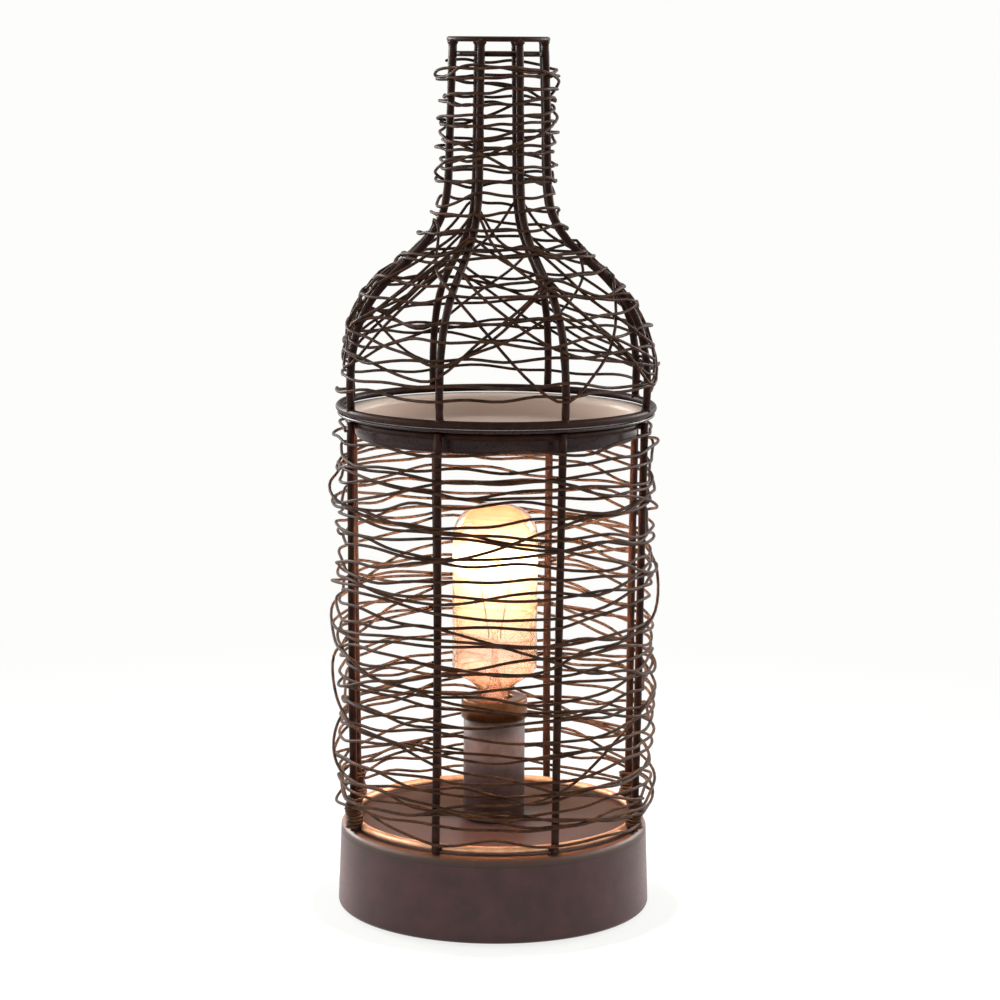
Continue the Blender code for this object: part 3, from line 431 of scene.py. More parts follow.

# %% [markdown]
# ## Pieces with several coats
# The dish is dark enamel outside and on its rim, and cream inside, with painted shade that makes the floor a
# little darker and a painted highlight that lightens the wall towards the rim. The base has mauve-brown paint
# on its wall, a painted highlight of the lamp's glow on its rounded edge that fades to a painted shadow line,
# and on top, inside the cage, a duller, nearly black copy of its paint as painted shade. Separate pieces
# would need seams that the real ones don't have, so the shader picks each coat from the distance to the axis
# and the height in
# Object coordinates.

# %% Second coats
# Share of the second coat's colour that soft patches decide, and the noise values between which they do
PATCH_SHARE = 0.3
SECOND_ENDS = (0.4, 0.6)


def tint_zones(material, zones_mm, low, high, heights_mm, rough):
    """Lay a further coat in zones that each lie nearer the axis than a radius and above a height. Its colour
    runs from low to high between two heights, and its roughness is one value."""
    tree = material.node_tree
    shader = tree.nodes["Principled BSDF"]
    place = add_node(tree, "TexCoord").outputs["Object"]
    flat = add_node(tree, "VectorMath", {0: place, 1: (1.0, 1.0, 0.0)}, operation="MULTIPLY")
    radius = add_node(tree, "VectorMath", {0: flat}, operation="LENGTH").outputs["Value"]
    height = add_node(tree, "SeparateXYZ", {"Vector": place}).outputs["Z"]
    covered = 0.0
    for radius_mm, height_mm in zones_mm:
        near = add_node(tree, "Math", {0: radius, 1: radius_mm * MM}, operation="LESS_THAN")
        above = add_node(tree, "Math", {0: height, 1: height_mm * MM}, operation="GREATER_THAN")
        both = add_node(tree, "Math", {0: near, 1: above}, operation="MULTIPLY")
        covered = add_node(tree, "Math", {0: both, 1: covered}, operation="MAXIMUM")
    patches = next(node for node in tree.nodes if node.bl_idname == "ShaderNodeTexNoise")
    level = add_node(tree, "MapRange",
                     {"Value": height, "From Min": heights_mm[0] * MM, "From Max": heights_mm[1] * MM,
                      "To Max": 1.0 - PATCH_SHARE})
    uneven = add_node(tree, "Math", {0: patches, 1: PATCH_SHARE, 2: level}, operation="MULTIPLY_ADD")
    second = add_node(tree, "ValToRGB", {"Fac": uneven})
    ends = (SECOND_ENDS[0] * PATCH_SHARE, SECOND_ENDS[1] * PATCH_SHARE + 1.0 - PATCH_SHARE)
    for element, end, colour in zip(second.color_ramp.elements, ends, (low, high)):
        element.position = end
        element.color = linear(colour)
    paint = shader.inputs["Base Color"].links[0].from_socket
    gloss = shader.inputs["Roughness"].links[0].from_socket
    # A Mix node has its colours at inputs 6 and 7 and output 2, and its numbers at 2 and 3 and output 0
    mixed = add_node(tree, "Mix", {"Factor": covered, 6: paint, 7: second}, data_type="RGBA")
    tree.links.new(mixed.outputs[2], shader.inputs["Base Color"])
    dulled = add_node(tree, "Mix", {0: covered, 2: gloss, 3: rough})
    tree.links.new(dulled.outputs[0], shader.inputs["Roughness"])


# %% Coats of the dish and the base
# Each zone is a radius and a height in millimetres
DISH_INSIDE = ((53.6, 185.5), (58.0, 194.0))
BASE_EDGE_PAINTED_HIGHLIGHT = ((61.5, 30.0),)
BASE_TOP_PAINTED_SHADE = ((57.5, 33.8),)
# Fired enamel: smooth, dark and softly glossy outside
dish_enamel = mottled_finish(
    "two_tone_dish_enamel_with_painted_shade", "1E1010", "2C1A1A", 14.0, 1.2, 0.003, (0.24, 0.34), Specular_IOR_Level=0.25)
# Cream inside the dish, with painted shade that darkens the floor and a painted highlight that lightens the
# wall towards the rim
tint_zones(dish_enamel, DISH_INSIDE, "C0AA9C", "D0BCAC", (187.0, 194.0), 0.42)
# Painted highlight and shadow on the base's rounded edge: brown at the top of the edge for the lamp's glow,
# fading to a thin dark painted shadow line where the wall begins
tint_zones(bronze_paint, BASE_EDGE_PAINTED_HIGHLIGHT, "1E0D0A", "4A2C1A", (30.0, 34.0), 0.46)
# Painted shade on the base's top inside the cage: a nearly black copy of the paint, so that it shows mostly
# the light that falls on it
tint_zones(bronze_paint, BASE_TOP_PAINTED_SHADE, "140A03", "221206", (33.0, 34.0), 0.46)
print("Finishes of several coats: dish enamel and base paint")

# %% [markdown]
# ## Lamp finishes
# The lit lamp's clear glass looks white-yellow where the filament is behind it and amber towards the ends,
# so the glass gives off a light that falls away from the filament's height. That height is read from Object
# coordinates, so the glow moves with the lamp.

# %% Colours over the lamp's height
GLASS_BOTTOM, GLASS_TOP = (corner[2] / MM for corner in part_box("lamp_glass"))


def colour_by_height(tree, stops):
    """A colour ramp over the lamp's height: every stop is a height in millimetres and a colour."""
    place = add_node(tree, "TexCoord").outputs["Object"]
    height = add_node(tree, "SeparateXYZ", {"Vector": place}).outputs["Z"]
    share = add_node(tree, "MapRange",
                     {"Value": height, "From Min": GLASS_BOTTOM * MM, "From Max": GLASS_TOP * MM})
    ramp = add_node(tree, "ValToRGB", {"Fac": share})
    ramp.color_ramp.interpolation = "EASE"
    elements = ramp.color_ramp.elements
    while len(elements) < len(stops):
        elements.new(0.5)
    for element, (millimetres, colour) in zip(elements, stops):
        element.position = (millimetres - GLASS_BOTTOM) / (GLASS_TOP - GLASS_BOTTOM)
        element.color = linear(colour)
    return ramp.outputs["Color"]


print("Glass from and to in mm:", round(GLASS_BOTTOM, 1), round(GLASS_TOP, 1))

# %% Glowing glass and filament
GLOW_STRENGTH = 2.0
RIM_BLEND = 0.42
FILAMENT_STRENGTH = 12.0
TUNGSTEN_WHITE = linear("FFE6B0")
EDGE_AMBER = linear("EEC49C")
# Heights in millimetres and the glass's colour, pale at the filament's height and darker towards the ends as
# painted glow, then the light that it gives off, from foot to top
face_on_painted_glow_stops = (
    (84, "C4AEA8"), (92, "CCB8B2"), (100, "D6C6C0"), (118, "F4E0CC"), (137, "FFF8E4"), (149, "DCBEB0"),
    (156, "CCAA9A"))
glow_stops = (
    (84, "140804"), (104, "1C160C"), (122, "30281A"), (131, "6A5A3C"), (137, "E8D8B4"), (143, "5A4A38"),
    (152, "1C140E"))
# Clear soda glass over a hot wire: bright and pale at the filament, amber where the glass is seen edge on
lamp_glow, glow_tree, glow_shader = new_material(
    "warm_lit_lamp_glass", Roughness=0.04, IOR=1.45, Transmission_Weight=0.9,
    Emission_Strength=GLOW_STRENGTH)
face_on = colour_by_height(glow_tree, face_on_painted_glow_stops)
rim = add_node(glow_tree, "LayerWeight", {"Blend": RIM_BLEND})
edge_on = add_node(glow_tree, "Mix", {"Factor": rim.outputs["Facing"], 6: face_on, 7: EDGE_AMBER},
                   data_type="RGBA")
glow = colour_by_height(glow_tree, glow_stops)
glow_tree.links.new(edge_on.outputs[2], glow_shader.inputs["Base Color"])
glow_tree.links.new(glow, glow_shader.inputs["Emission Color"])

# Drawn tungsten at white heat: too bright to show any surface of its own
filament_glow, _, filament_shader = new_material(
    "white_hot_tungsten", Roughness=0.5, Emission_Strength=FILAMENT_STRENGTH)
filament_shader.inputs["Emission Color"].default_value = TUNGSTEN_WHITE
filament_shader.inputs["Base Color"].default_value = TUNGSTEN_WHITE
print("All materials:", len(bpy.data.materials))

# %% [markdown]
# ## Base
# The real base is a spun steel cup turned upside down, with a rounded shoulder and a thicker hem that stands
# just clear of the table. The profile runs over the outside, round the hem and back inside.

# %% Base shell
# Sizes in millimetres: the gap between pieces that are fitted together, then the shell's own
GAP = 0.3
BASE_TOP = 34.1
BASE_TOP_RADIUS = 59.7
BASE_FOOT_RADIUS = 60.8
BASE_EDGE = 2.5
BASE_WALL = 1.0
BASE_HOLE_RADIUS = 5.3
HEM_BOTTOM = 1.0
HEM_HEIGHT = 3.5
HEM_WALL = 2.0
HEM_EDGE = 1.5
hem_top = HEM_BOTTOM + HEM_HEIGHT
edge_centre = (BASE_TOP_RADIUS - BASE_EDGE, BASE_TOP - BASE_EDGE)
base_profile = [
    [(BASE_HOLE_RADIUS, BASE_TOP)],
    arc(edge_centre, BASE_EDGE, 90, 0, 12),
    arc((BASE_FOOT_RADIUS - HEM_EDGE, HEM_BOTTOM + HEM_EDGE), HEM_EDGE, 0, -90, 8),
    [(BASE_FOOT_RADIUS - HEM_WALL, HEM_BOTTOM), (BASE_FOOT_RADIUS - HEM_WALL, hem_top)],
    [(BASE_FOOT_RADIUS - BASE_WALL, hem_top + BASE_WALL)],
    arc(edge_centre, BASE_EDGE - BASE_WALL, 0, 90, 8),
    [(BASE_HOLE_RADIUS, BASE_TOP - BASE_WALL)],
]
make_piece("spun_base", *revolve(base_profile, WIDE_SIDES), bronze_paint, "base", "bronze_paint",
           ["base_shell"])

# %% [markdown]
# ## Rings
# Five hoops of round wire hold the two cages: a bottom and a top ring on the lower cage, a bottom ring and
# two small rings on the lid. Each was bent from a rod and welded shut. A torus is enough for that, and its
# place follows from the pieces that lie on each other: base, cage, dish and lid.

# %% Heights and radii of the cages
# A rod's radius and the number of rods, then sizes and steps from piece to piece, in millimetres
ROD = 1.5
RODS = 8
CAGE_INSET = 1.3
CAGE_SPREAD = 1.6
CAGE_HEAD = 193.4
DISH_METAL = 1.2
DISH_OVERHANG = 1.0
LID_INSET = 0.8
LID_HEIGHT = 142.0
NECK_WIRE = 1.0
NECK_RING_RADIUS = 18.6
INNER_RING_DROP = 5.5

rod_angles = math.pi / RODS + 2 * math.pi * np.arange(RODS) / RODS
RING_INSET = 2 * ROD + GAP
CAGE_FOOT_RADIUS = BASE_TOP_RADIUS - CAGE_INSET
CAGE_HEAD_RADIUS = CAGE_FOOT_RADIUS + CAGE_SPREAD
CAGE_RING_HEIGHT = BASE_TOP + GAP + ROD
TOP_RING_HEIGHT = CAGE_HEAD - ROD
FLANGE_RADIUS = CAGE_HEAD_RADIUS + DISH_OVERHANG
FLANGE_TOP = CAGE_HEAD + GAP + DISH_METAL
LID_RING_RADIUS = FLANGE_RADIUS - LID_INSET
LID_RING_HEIGHT = FLANGE_TOP + GAP + ROD
NECK_RING_HEIGHT = FLANGE_TOP + LID_HEIGHT - NECK_WIRE
print("Lid ring radius and height in mm:", round(LID_RING_RADIUS, 1), round(LID_RING_HEIGHT, 1))

# %% Rings
def ring(radius_mm, height_mm, wire_mm, sides=12, steps=144):
    """A hoop: the circle of the wire's section carried round a larger circle."""
    turn = np.linspace(0, 2 * np.pi, sides, endpoint=False)
    section = np.column_stack([radius_mm + wire_mm * np.cos(turn), height_mm + wire_mm * np.sin(turn)])
    return revolve([section], steps)


# Name, body, CAD node, radius, height, radius of the wire, and finish
rings = (
    # The bottom hoop's finish carries a painted highlight of the lamp's light
    ("cage_hoop_bottom", "base", "cage_bottom_ring", CAGE_FOOT_RADIUS - RING_INSET, CAGE_RING_HEIGHT, ROD,
     hoop_painted_highlight),
    ("cage_hoop_top", "base", "cage_top_ring", CAGE_HEAD_RADIUS - RING_INSET, TOP_RING_HEIGHT, ROD,
     rod_lacquer),
    ("lid_hoop", "lid", "lid_bottom_ring", LID_RING_RADIUS, LID_RING_HEIGHT, ROD, rod_lacquer),
    ("mouth_hoop", "lid", "neck_top_ring", NECK_RING_RADIUS, NECK_RING_HEIGHT, NECK_WIRE, rod_lacquer),
    ("neck_hoop", "lid", "neck_inner_ring", NECK_RING_RADIUS - ROD - GAP - NECK_WIRE,
     NECK_RING_HEIGHT - INNER_RING_DROP, NECK_WIRE, rod_lacquer),
)
for name, body, node, radius, height, wire, finish in rings:
    make_piece(name, *ring(radius, height, wire), finish, body, "cage_wire", [node])

# %% [markdown]
# ## Rods of the lower cage
# Eight rods stand on the base, lean out a little and twist by a degree. Rods that are welded by hand are
# never dead straight or evenly thick, so each one strays by a fraction of a millimetre. The drift is a sum of
# sines that vanishes at both welds, with a fixed random seed.

# %% Lower cage rods
CAGE_FOOT_TURN = math.radians(0.8)
CAGE_HEAD_TURN = math.radians(1.8)
CAGE_STRAY = (0.15, 0.003)
CAGE_ROD_POINTS = 30
ROD_UNEVEN = 0.03
ROD_SIDES = 12
STRAY_SEED = 11
stray = np.random.default_rng(STRAY_SEED)


def wander(count, size):
    """A smooth random drift that is zero at both ends: three sine waves of random size."""
    share = np.linspace(0, 1, count)
    waves = stray.normal(0, 1, 3) / np.array([1.0, 2.0, 3.0])
    return size * sum(wave * np.sin(np.pi * (order + 1) * share) for order, wave in enumerate(waves))


def straying_rod(radius, rod_angle, twist, height, stray_sizes):
    """A rod swept along radius, angle and height, which stray by a size in millimetres and one in radians."""
    count = len(height)
    drift_out = wander(count, stray_sizes[0])
    drift_round = wander(count, stray_sizes[1])
    path = round_the_axis(radius + drift_out, rod_angle + twist + drift_round, height)
    thick = ROD * (1 + ROD_UNEVEN * stray.normal(0, 1, count))
    sideways = round_the_axis(1.0, rod_angle + math.pi / 2, 0.0)
    return sweep(path * MM, thick * MM, sideways, ROD_SIDES)


def cage_line(height_mm):
    """Radius and twist of the lower cage's rods at a height, both going evenly from foot to head."""
    part = (height_mm - CAGE_RING_HEIGHT) / (CAGE_HEAD - CAGE_RING_HEIGHT)
    radius = CAGE_FOOT_RADIUS + part * (CAGE_HEAD_RADIUS - CAGE_FOOT_RADIUS)
    return radius, CAGE_FOOT_TURN + part * (CAGE_HEAD_TURN - CAGE_FOOT_TURN)


height = np.linspace(BASE_TOP + GAP, CAGE_HEAD - GAP, CAGE_ROD_POINTS)
radius, twist = cage_line(height)
for number, angle in enumerate(rod_angles, start=1):
    rod = straying_rod(radius, angle, twist, height, CAGE_STRAY)
    make_piece(f"cage_rod_iron_{number}", *rod, rod_lacquer, "base", "cage_wire", [f"cage_rod_{number}"])

# %% [markdown]
# ## Rods of the lid
# Each rod of the lid was bent outwards to the shoulder and in again to the neck. A few points give the bend,
# a curve through all of them makes it smooth, and the whole line is stretched to meet the lid's two rings.

# %% Lid rods
LID_LINE = np.array([
    (60.4, 3.5), (60.7, 12.0), (59.8, 23.0), (57.0, 34.5), (51.6, 44.0), (44.6, 51.5), (36.2, 58.5),
    (28.8, 65.5), (23.8, 72.8), (21.2, 81.2), (20.2, 94.0), (19.9, 110.0), (19.4, 125.0), (18.8, 139.1)])
LID_TURN = math.radians(2.5)
LID_STRAY = (0.2, 0.004)
LID_ROD_POINTS = 60
STEPS_BETWEEN_KNOTS = 12


def distance_along(line):
    """Distance from a line's start to each of its points: the steps' lengths added up."""
    return np.concatenate([[0.0], np.cumsum(np.linalg.norm(np.diff(line, axis=0), axis=1))])


def smooth_line(knots, steps):
    """A Catmull-Rom curve through the knots, resampled at even distances along it."""
    padded = np.vstack([2 * knots[0] - knots[1], knots, 2 * knots[-1] - knots[-2]])
    before, start, end, after = (padded[offset:len(padded) - 3 + offset, None, :] for offset in range(4))
    share = np.linspace(0, 1, STEPS_BETWEEN_KNOTS, endpoint=False)[None, :, None]
    fine = 0.5 * (2 * start + (end - before) * share + (2 * before - 5 * start + 4 * end - after) * share ** 2
                  + (3 * start - before - 3 * end + after) * share ** 3)
    fine = np.vstack([fine.reshape(-1, 2), knots[-1:]])
    travelled = distance_along(fine)
    stations = np.linspace(0, travelled[-1], steps)
    return np.column_stack([np.interp(stations, travelled, fine[:, axis]) for axis in range(2)])


LID_FOOT = LID_RING_HEIGHT + ROD + GAP
LID_HEAD = NECK_RING_HEIGHT - NECK_WIRE - GAP
lid_line = smooth_line(LID_LINE, LID_ROD_POINTS)
for axis, first, last in ((0, LID_RING_RADIUS, NECK_RING_RADIUS), (1, LID_FOOT, LID_HEAD)):
    stretch = (last - first) / (lid_line[-1, axis] - lid_line[0, axis])
    lid_line[:, axis] = first + (lid_line[:, axis] - lid_line[0, axis]) * stretch
for number, angle in enumerate(rod_angles + LID_TURN, start=1):
    rod = straying_rod(lid_line[:, 0], angle, 0.0, lid_line[:, 1], LID_STRAY)
    make_piece(f"lid_rod_iron_{number}", *rod, rod_lacquer, "lid", "cage_wire", [f"lid_rod_{number}"])

# %% [markdown]
# ## Windings
# The real cages are wound by hand with thin iron wire, which lies on the outside of the rods, here taut and
# there bowed, and climbs a few millimetres a turn. More of the wire runs over this layer with no order,
# which makes the crossing diagonals. Each layer is one path: a random height at every rod, a random bow
# between two rods, and a height that goes evenly from one rod to the next.

# %% Winding paths
# The wire's radius in millimetres, and its distance from the line of a rod that it lies on
WIRE = 0.60
WIRE_LIFT = ROD + WIRE
WIRE_SIDES = 7
# Points from rod to rod, and passes that soften the kinks at the rods
SPAN_POINTS = 12
SOFTENED = 3


def winding(stations, bow, sway, layer, line, turn_at, first_rod, direction):
    """A wire's path. Its station goes evenly from one rod's to the next and sways by sines of the span; its
    distance from the rods' line is its layer's plus a bow of such sines. The sines vanish at the rods."""
    share = np.arange(SPAN_POINTS) / SPAN_POINTS
    waves = np.sin(np.pi * np.arange(1, 4)[:, None] * share)
    even = stations[:-1, None] + np.diff(stations)[:, None] * share
    station = np.append((even + sway @ waves).ravel(), stations[-1])
    for _ in range(SOFTENED):
        station[1:-1] = 0.25 * station[:-2] + 0.5 * station[1:-1] + 0.25 * station[2:]
    outward_by = WIRE_LIFT + layer * WIRE + np.append((bow @ waves).ravel(), 0.0)
    travelled = distance_along(line)
    slope = unit(np.gradient(line, travelled, axis=0))
    radius, height = (np.interp(station, travelled, column) for column in line.T)
    run, rise = (np.interp(station, travelled, column) for column in slope.T)
    spans = np.arange(len(station)) / SPAN_POINTS
    angle = rod_angles[first_rod] + direction * 2 * math.pi * spans / RODS
    height = height - run * outward_by
    return round_the_axis(radius + rise * outward_by, angle + turn_at(height), height)


def wire_tube(path):
    """A tube of the winding's wire along a path in millimetres."""
    return sweep(path * MM, WIRE * MM, (0, 0, 1), WIRE_SIDES)


# %% Random heights, bows and strides
# A rod's random kick fades by this factor at each rod that follows, and is gone after so many rods
KICK_MEMORY = 0.12
KICK_RODS = 12
CAGE_SEED = 8
dice = np.random.default_rng(CAGE_SEED)


def sines(spans, sizes, bow=None):
    """Random sizes of three sines for every span. With a bow, the first is evenly spread between its ends."""
    chosen = dice.normal(0, 1, (spans, 3)) * sizes
    if bow:
        chosen[:, 0] = dice.uniform(*bow, spans)
    return chosen


def climbing(low, high, turns, scatter):
    """Stations at the rods: an even climb plus a random drift that forgets itself over a few rods."""
    count = turns * RODS + 1
    kicks = dice.normal(0, scatter, count)
    fading = KICK_MEMORY ** np.arange(KICK_RODS)
    return np.clip(np.linspace(low, high, count) + np.convolve(kicks, fading)[:count], low, high)


def folding(low, high, strides):
    """Stations of a wire that runs up and down: the strides add up and are folded back at both ends."""
    walked = np.mod(np.cumsum(strides), 2 * (high - low))
    return low + np.minimum(walked, 2 * (high - low) - walked)


# %% Wire ends wrapped round a rod
# Rise of a turn in millimetres, points of a turn, and how much and how often the coil swells
TIE_RISE = 1.15
TIE_STEPS = 14
TIE_SWELL = 0.55
TIE_RIPPLE = 0.43


def tie(line, turn_at, rod, start, turns, direction):
    """A wire's end wrapped round a rod: a coil that starts below a station and ends on the rod's outer side.
    Its radius swells by the square of a sine, because the turns pile up."""
    phase = np.linspace(-2 * np.pi * turns, 0, TIE_STEPS * turns)
    heights = start + TIE_RISE * phase / (2 * np.pi)
    radius = np.interp(heights, line[:, 1], line[:, 0])
    angle = rod_angles[rod] + turn_at(heights)
    out_from_rod = round_the_axis(1.0, angle, 0.0)
    beside_rod = round_the_axis(1.0, angle + math.pi / 2, 0.0)
    coil = WIRE_LIFT * (1 + TIE_SWELL * np.sin(TIE_RIPPLE * phase) ** 2)[:, None]
    turned = np.cos(phase)[:, None] * out_from_rod + direction * np.sin(phase)[:, None] * beside_rod
    return round_the_axis(radius, angle, heights) + coil * turned


# %% [markdown]
# ## Lower cage winding
# A first wire climbs the whole cage in 35 turns and bows a little out or in between the rods. A second one
# runs the other way round over it with longer strides, which makes the crossings. Both start in a tight coil
# round a rod just above the base, as on the real object, and two more coils hold ends of finished lengths.

# %% The cage's helpers
# Sizes in millimetres of the shorter sines of a bow
RIPPLE = (0, 0.5, 0.3)
# Where both wires begin, wrapped round a rod
TIE_HEIGHT = 12.0
TIE_TURNS = 10
CAGE_LINE_POINTS = 40
foot = CAGE_RING_HEIGHT + TIE_HEIGHT
cage_heights = np.linspace(CAGE_RING_HEIGHT, TOP_RING_HEIGHT, CAGE_LINE_POINTS)
cage_profile = np.column_stack([cage_line(cage_heights)[0], cage_heights])
cage_length = TOP_RING_HEIGHT - CAGE_RING_HEIGHT
print("Wound length of the cage in mm:", round(cage_length, 1))


def cage_turn(height):
    """Twist of the lower cage's rods at a height."""
    return cage_line(height)[1]


def cage_path(stations, bow, sway, layer, rod, direction):
    """A layer's path on the cage: a coil round its first rod, then spans that bow and sway at random."""
    stations[0] = TIE_HEIGHT
    spans = len(stations) - 1
    bows = sines(spans, RIPPLE, bow)
    sways = sines(spans, sway)
    wound = winding(stations, bows, sways, layer, cage_profile, cage_turn, rod, direction)
    return np.vstack([tie(cage_profile, cage_turn, rod, foot, TIE_TURNS, direction)[:-1], wound])


# %% Even and wild wire of the cage
# The even wire: turns, room kept at both ends, scatter at a rod, bow between rods, and sway, in millimetres
CAGE_TURNS = 35
EVEN_ROOM = 2.0
EVEN_SCATTER = 2.2
EVEN_BOW = (-3.2, 1.6)
EVEN_SWAY = (1.0, 0.9, 0.6)
EVEN_ROD = 6
# The wild wire: spans, room at the foot and at the head, stride and its spread, bow, and sway
WILD_SPANS = 76
WILD_ROOM = (3.0, 10.0)
WILD_STRIDE = (9.0, 6.0)
WILD_BOW = (-2.6, 1.3)
WILD_SWAY = (1.2, 0.9, 0.6)
WILD_ROD = 1
# Ends of two finished lengths, wrapped round rods a little lower
SPARE_TIE_DROP = 1.0
SPARE_TIE_RODS = (2, 5)

stations = climbing(EVEN_ROOM, cage_length - EVEN_ROOM, CAGE_TURNS, EVEN_SCATTER)
cage_paths = [cage_path(stations, EVEN_BOW, EVEN_SWAY, 0, EVEN_ROD, 1)]
stations = folding(WILD_ROOM[0], cage_length - WILD_ROOM[1], dice.normal(*WILD_STRIDE, WILD_SPANS + 1))
cage_paths.append(cage_path(stations, WILD_BOW, WILD_SWAY, 2, WILD_ROD, -1))
for rod in SPARE_TIE_RODS:
    cage_paths.append(tie(cage_profile, cage_turn, rod, foot - SPARE_TIE_DROP, TIE_TURNS - 1, 1))
cage_wires = join([wire_tube(path) for path in cage_paths])
make_piece("cage_wound_wire", *cage_wires, wire_lacquer, "base", "cage_wire", ["cage_winding"])

# %% [markdown]
# ## Lid winding
# The lid is wound like the cage, but the wire has to follow the shoulder inwards, so it is nearly straight
# from rod to rod and its bends shrink with the radius. Over the even layer lie a net of steep strides, which
# gives the crosses between the rods, a shallower net, a low net near the foot, and loose turns on the neck.

# %% The lid's helpers
# Distances along the rods in millimetres: the shoulder's end, and room left at the top of the neck
SHOULDER_END = 98.0
NECK_ROOM = 7.0
# Factors of the slack, and stations between which it falls from the foot's to 1 and rises to the neck's
LOOSE_FOOT = 2.3
LOOSE_NECK = 1.35
LOOSE_STATIONS = (20.0, 45.0, 85.0, 105.0)
lid_length = np.linalg.norm(np.diff(lid_line, axis=0), axis=1).sum()
NECK_END = lid_length - NECK_ROOM
print("Wound length of the lid in mm:", round(lid_length, 1))


def lid_turn(height):
    """Twist of the lid's rods, the same at every height."""
    return LID_TURN + 0 * height


def span_radius(stations):
    """The lid's radius in the middle of every span."""
    travelled = np.linspace(0, lid_length, len(lid_line))
    return np.interp(0.5 * (stations[:-1] + stations[1:]), travelled, lid_line[:, 0])


def slimmer(stations, sizes):
    """Sizes of a span's sines, made smaller where the lid is narrow: by the radius there over the widest."""
    return sizes * (span_radius(stations) / lid_line[:, 0].max())[:, None]


def taut(stations, slack, bends):
    """Bows of wire that is nearly straight from rod to rod: the chord's depth inwards, less a random slack,
    which is larger near the lid's foot and on its neck, where the turns sit more loosely."""
    bow = slimmer(stations, sines(len(stations) - 1, (0.0, *bends)))
    looser = np.interp(stations[:-1], LOOSE_STATIONS, (LOOSE_FOOT, 1.0, 1.0, LOOSE_NECK))
    depth = span_radius(stations) * (1 - math.cos(math.pi / RODS))
    bow[:, 0] = dice.uniform(*slack, len(bow)) * looser - depth
    return bow


def lid_path(stations, slack, bends, waves, layer, first_rod, direction):
    """A layer's path on the lid: its bows are taut, and both bows and sways shrink with the radius."""
    bow = taut(stations, slack, bends)
    sway = slimmer(stations, sines(len(stations) - 1, waves))
    return winding(stations, bow, sway, layer, lid_line, lid_turn, first_rod, direction)


# %% Even layer and nets of the lid
LID_SEED = 12
SHOULDER_TURNS = 12
NECK_TURNS = 11
SHOULDER_SCATTER = 2.4
NECK_SCATTER = 1.1
LID_START = 2.0
LID_ROD = 5
# Slack, bends and waves of the even layer, then bends and waves of the nets, in millimetres
EVEN_SLACK = (0.0, 2.6)
EVEN_BENDS = (0.6, 0.4)
EVEN_WAVES = (1.2, 1.0, 0.7)
NET_BENDS = (0.7, 0.4)
NET_WAVES = (1.5, 1.2, 0.7)
NET_START = 2.5
NET_END = SHOULDER_END - 4.0
# Spans, then in millimetres the lowest and highest station, the stride and its spread, and the slack, then
# the layer, the first rod and the direction
lid_nets = (
    (32, (NET_START, NET_END), (49.0, 9.0), (-0.5, 1.0), 1, 3, -1),
    (18, (NET_START, 64.0), (36.0, 8.0), (-0.2, 1.0), 1, 7, 1),
    (10, (NET_START, 46.0), (32.0, 8.0), (0.0, 1.4), 2, 6, -1),
    (24, (NET_END, NECK_END), (4.0, 3.0), (0.5, 3.4), 1, 4, 1),
)
dice = np.random.default_rng(LID_SEED)
shoulder_stations = climbing(LID_START, SHOULDER_END, SHOULDER_TURNS, SHOULDER_SCATTER)
neck_stations = climbing(SHOULDER_END, NECK_END, NECK_TURNS, NECK_SCATTER)
stations = np.concatenate([shoulder_stations, neck_stations[1:]])
lid_paths = [lid_path(stations, EVEN_SLACK, EVEN_BENDS, EVEN_WAVES, 0, LID_ROD, 1)]
for spans, (low, high), stride, slack, layer, first_rod, direction in lid_nets:
    stations = folding(low, high, dice.normal(*stride, spans + 1))
    lid_paths.append(lid_path(stations, slack, NET_BENDS, NET_WAVES, layer, first_rod, direction))
lid_wires = join([wire_tube(path) for path in lid_paths])
make_piece("lid_wound_wire", *lid_wires, wire_lacquer, "lid", "cage_wire", ["lid_winding"])

# %% [markdown]
# ## Weld beads
# Every rod is spot-welded to the ring at each end, which leaves a small flattened bead. The real beads vary,
# so each gets a slightly different size. They are lacquered with the rods.

# %% Weld beads
# Range of random size, and half widths and half height of a bead in millimetres
BEAD_SPREAD = (0.85, 1.15)
FOOT_BEAD = np.array([2.3, 2.3, 1.5])
HEAD_BEAD = np.array([1.9, 1.9, 1.3])
NECK_BEAD = HEAD_BEAD * 0.95
# How far the beads sit inside the rods' radius, and how far from the rings' or rod ends' height
FOOT_BEAD_INSET = 1.6
HEAD_BEAD_INSET = 1.7
FOOT_BEAD_DROP = 0.1
LID_BEAD_DROP = 0.6
NECK_BEAD_RISE = 0.2


def bead(centre, size, rows=8, columns=12):
    """An ellipsoid: centre plus size times (sin u cos v, sin u sin v, cos u)."""
    polar = np.linspace(0, np.pi, rows)[:, None]
    around = np.linspace(0, 2 * np.pi, columns, endpoint=False)[None, :]
    ball = np.stack(np.broadcast_arrays(np.sin(polar) * np.cos(around), np.sin(polar) * np.sin(around),
                                        np.cos(polar)), axis=-1)
    return ((centre + size * ball) * MM).reshape(-1, 3), grid_faces(rows, columns, False, True)


def weld_row(radius, height, turn, size):
    """One bead at every rod, on a radius and height in millimetres, each of a slightly different size."""
    return [bead(round_the_axis(radius, angle + turn, height), size * stray.uniform(*BEAD_SPREAD))
            for angle in rod_angles]


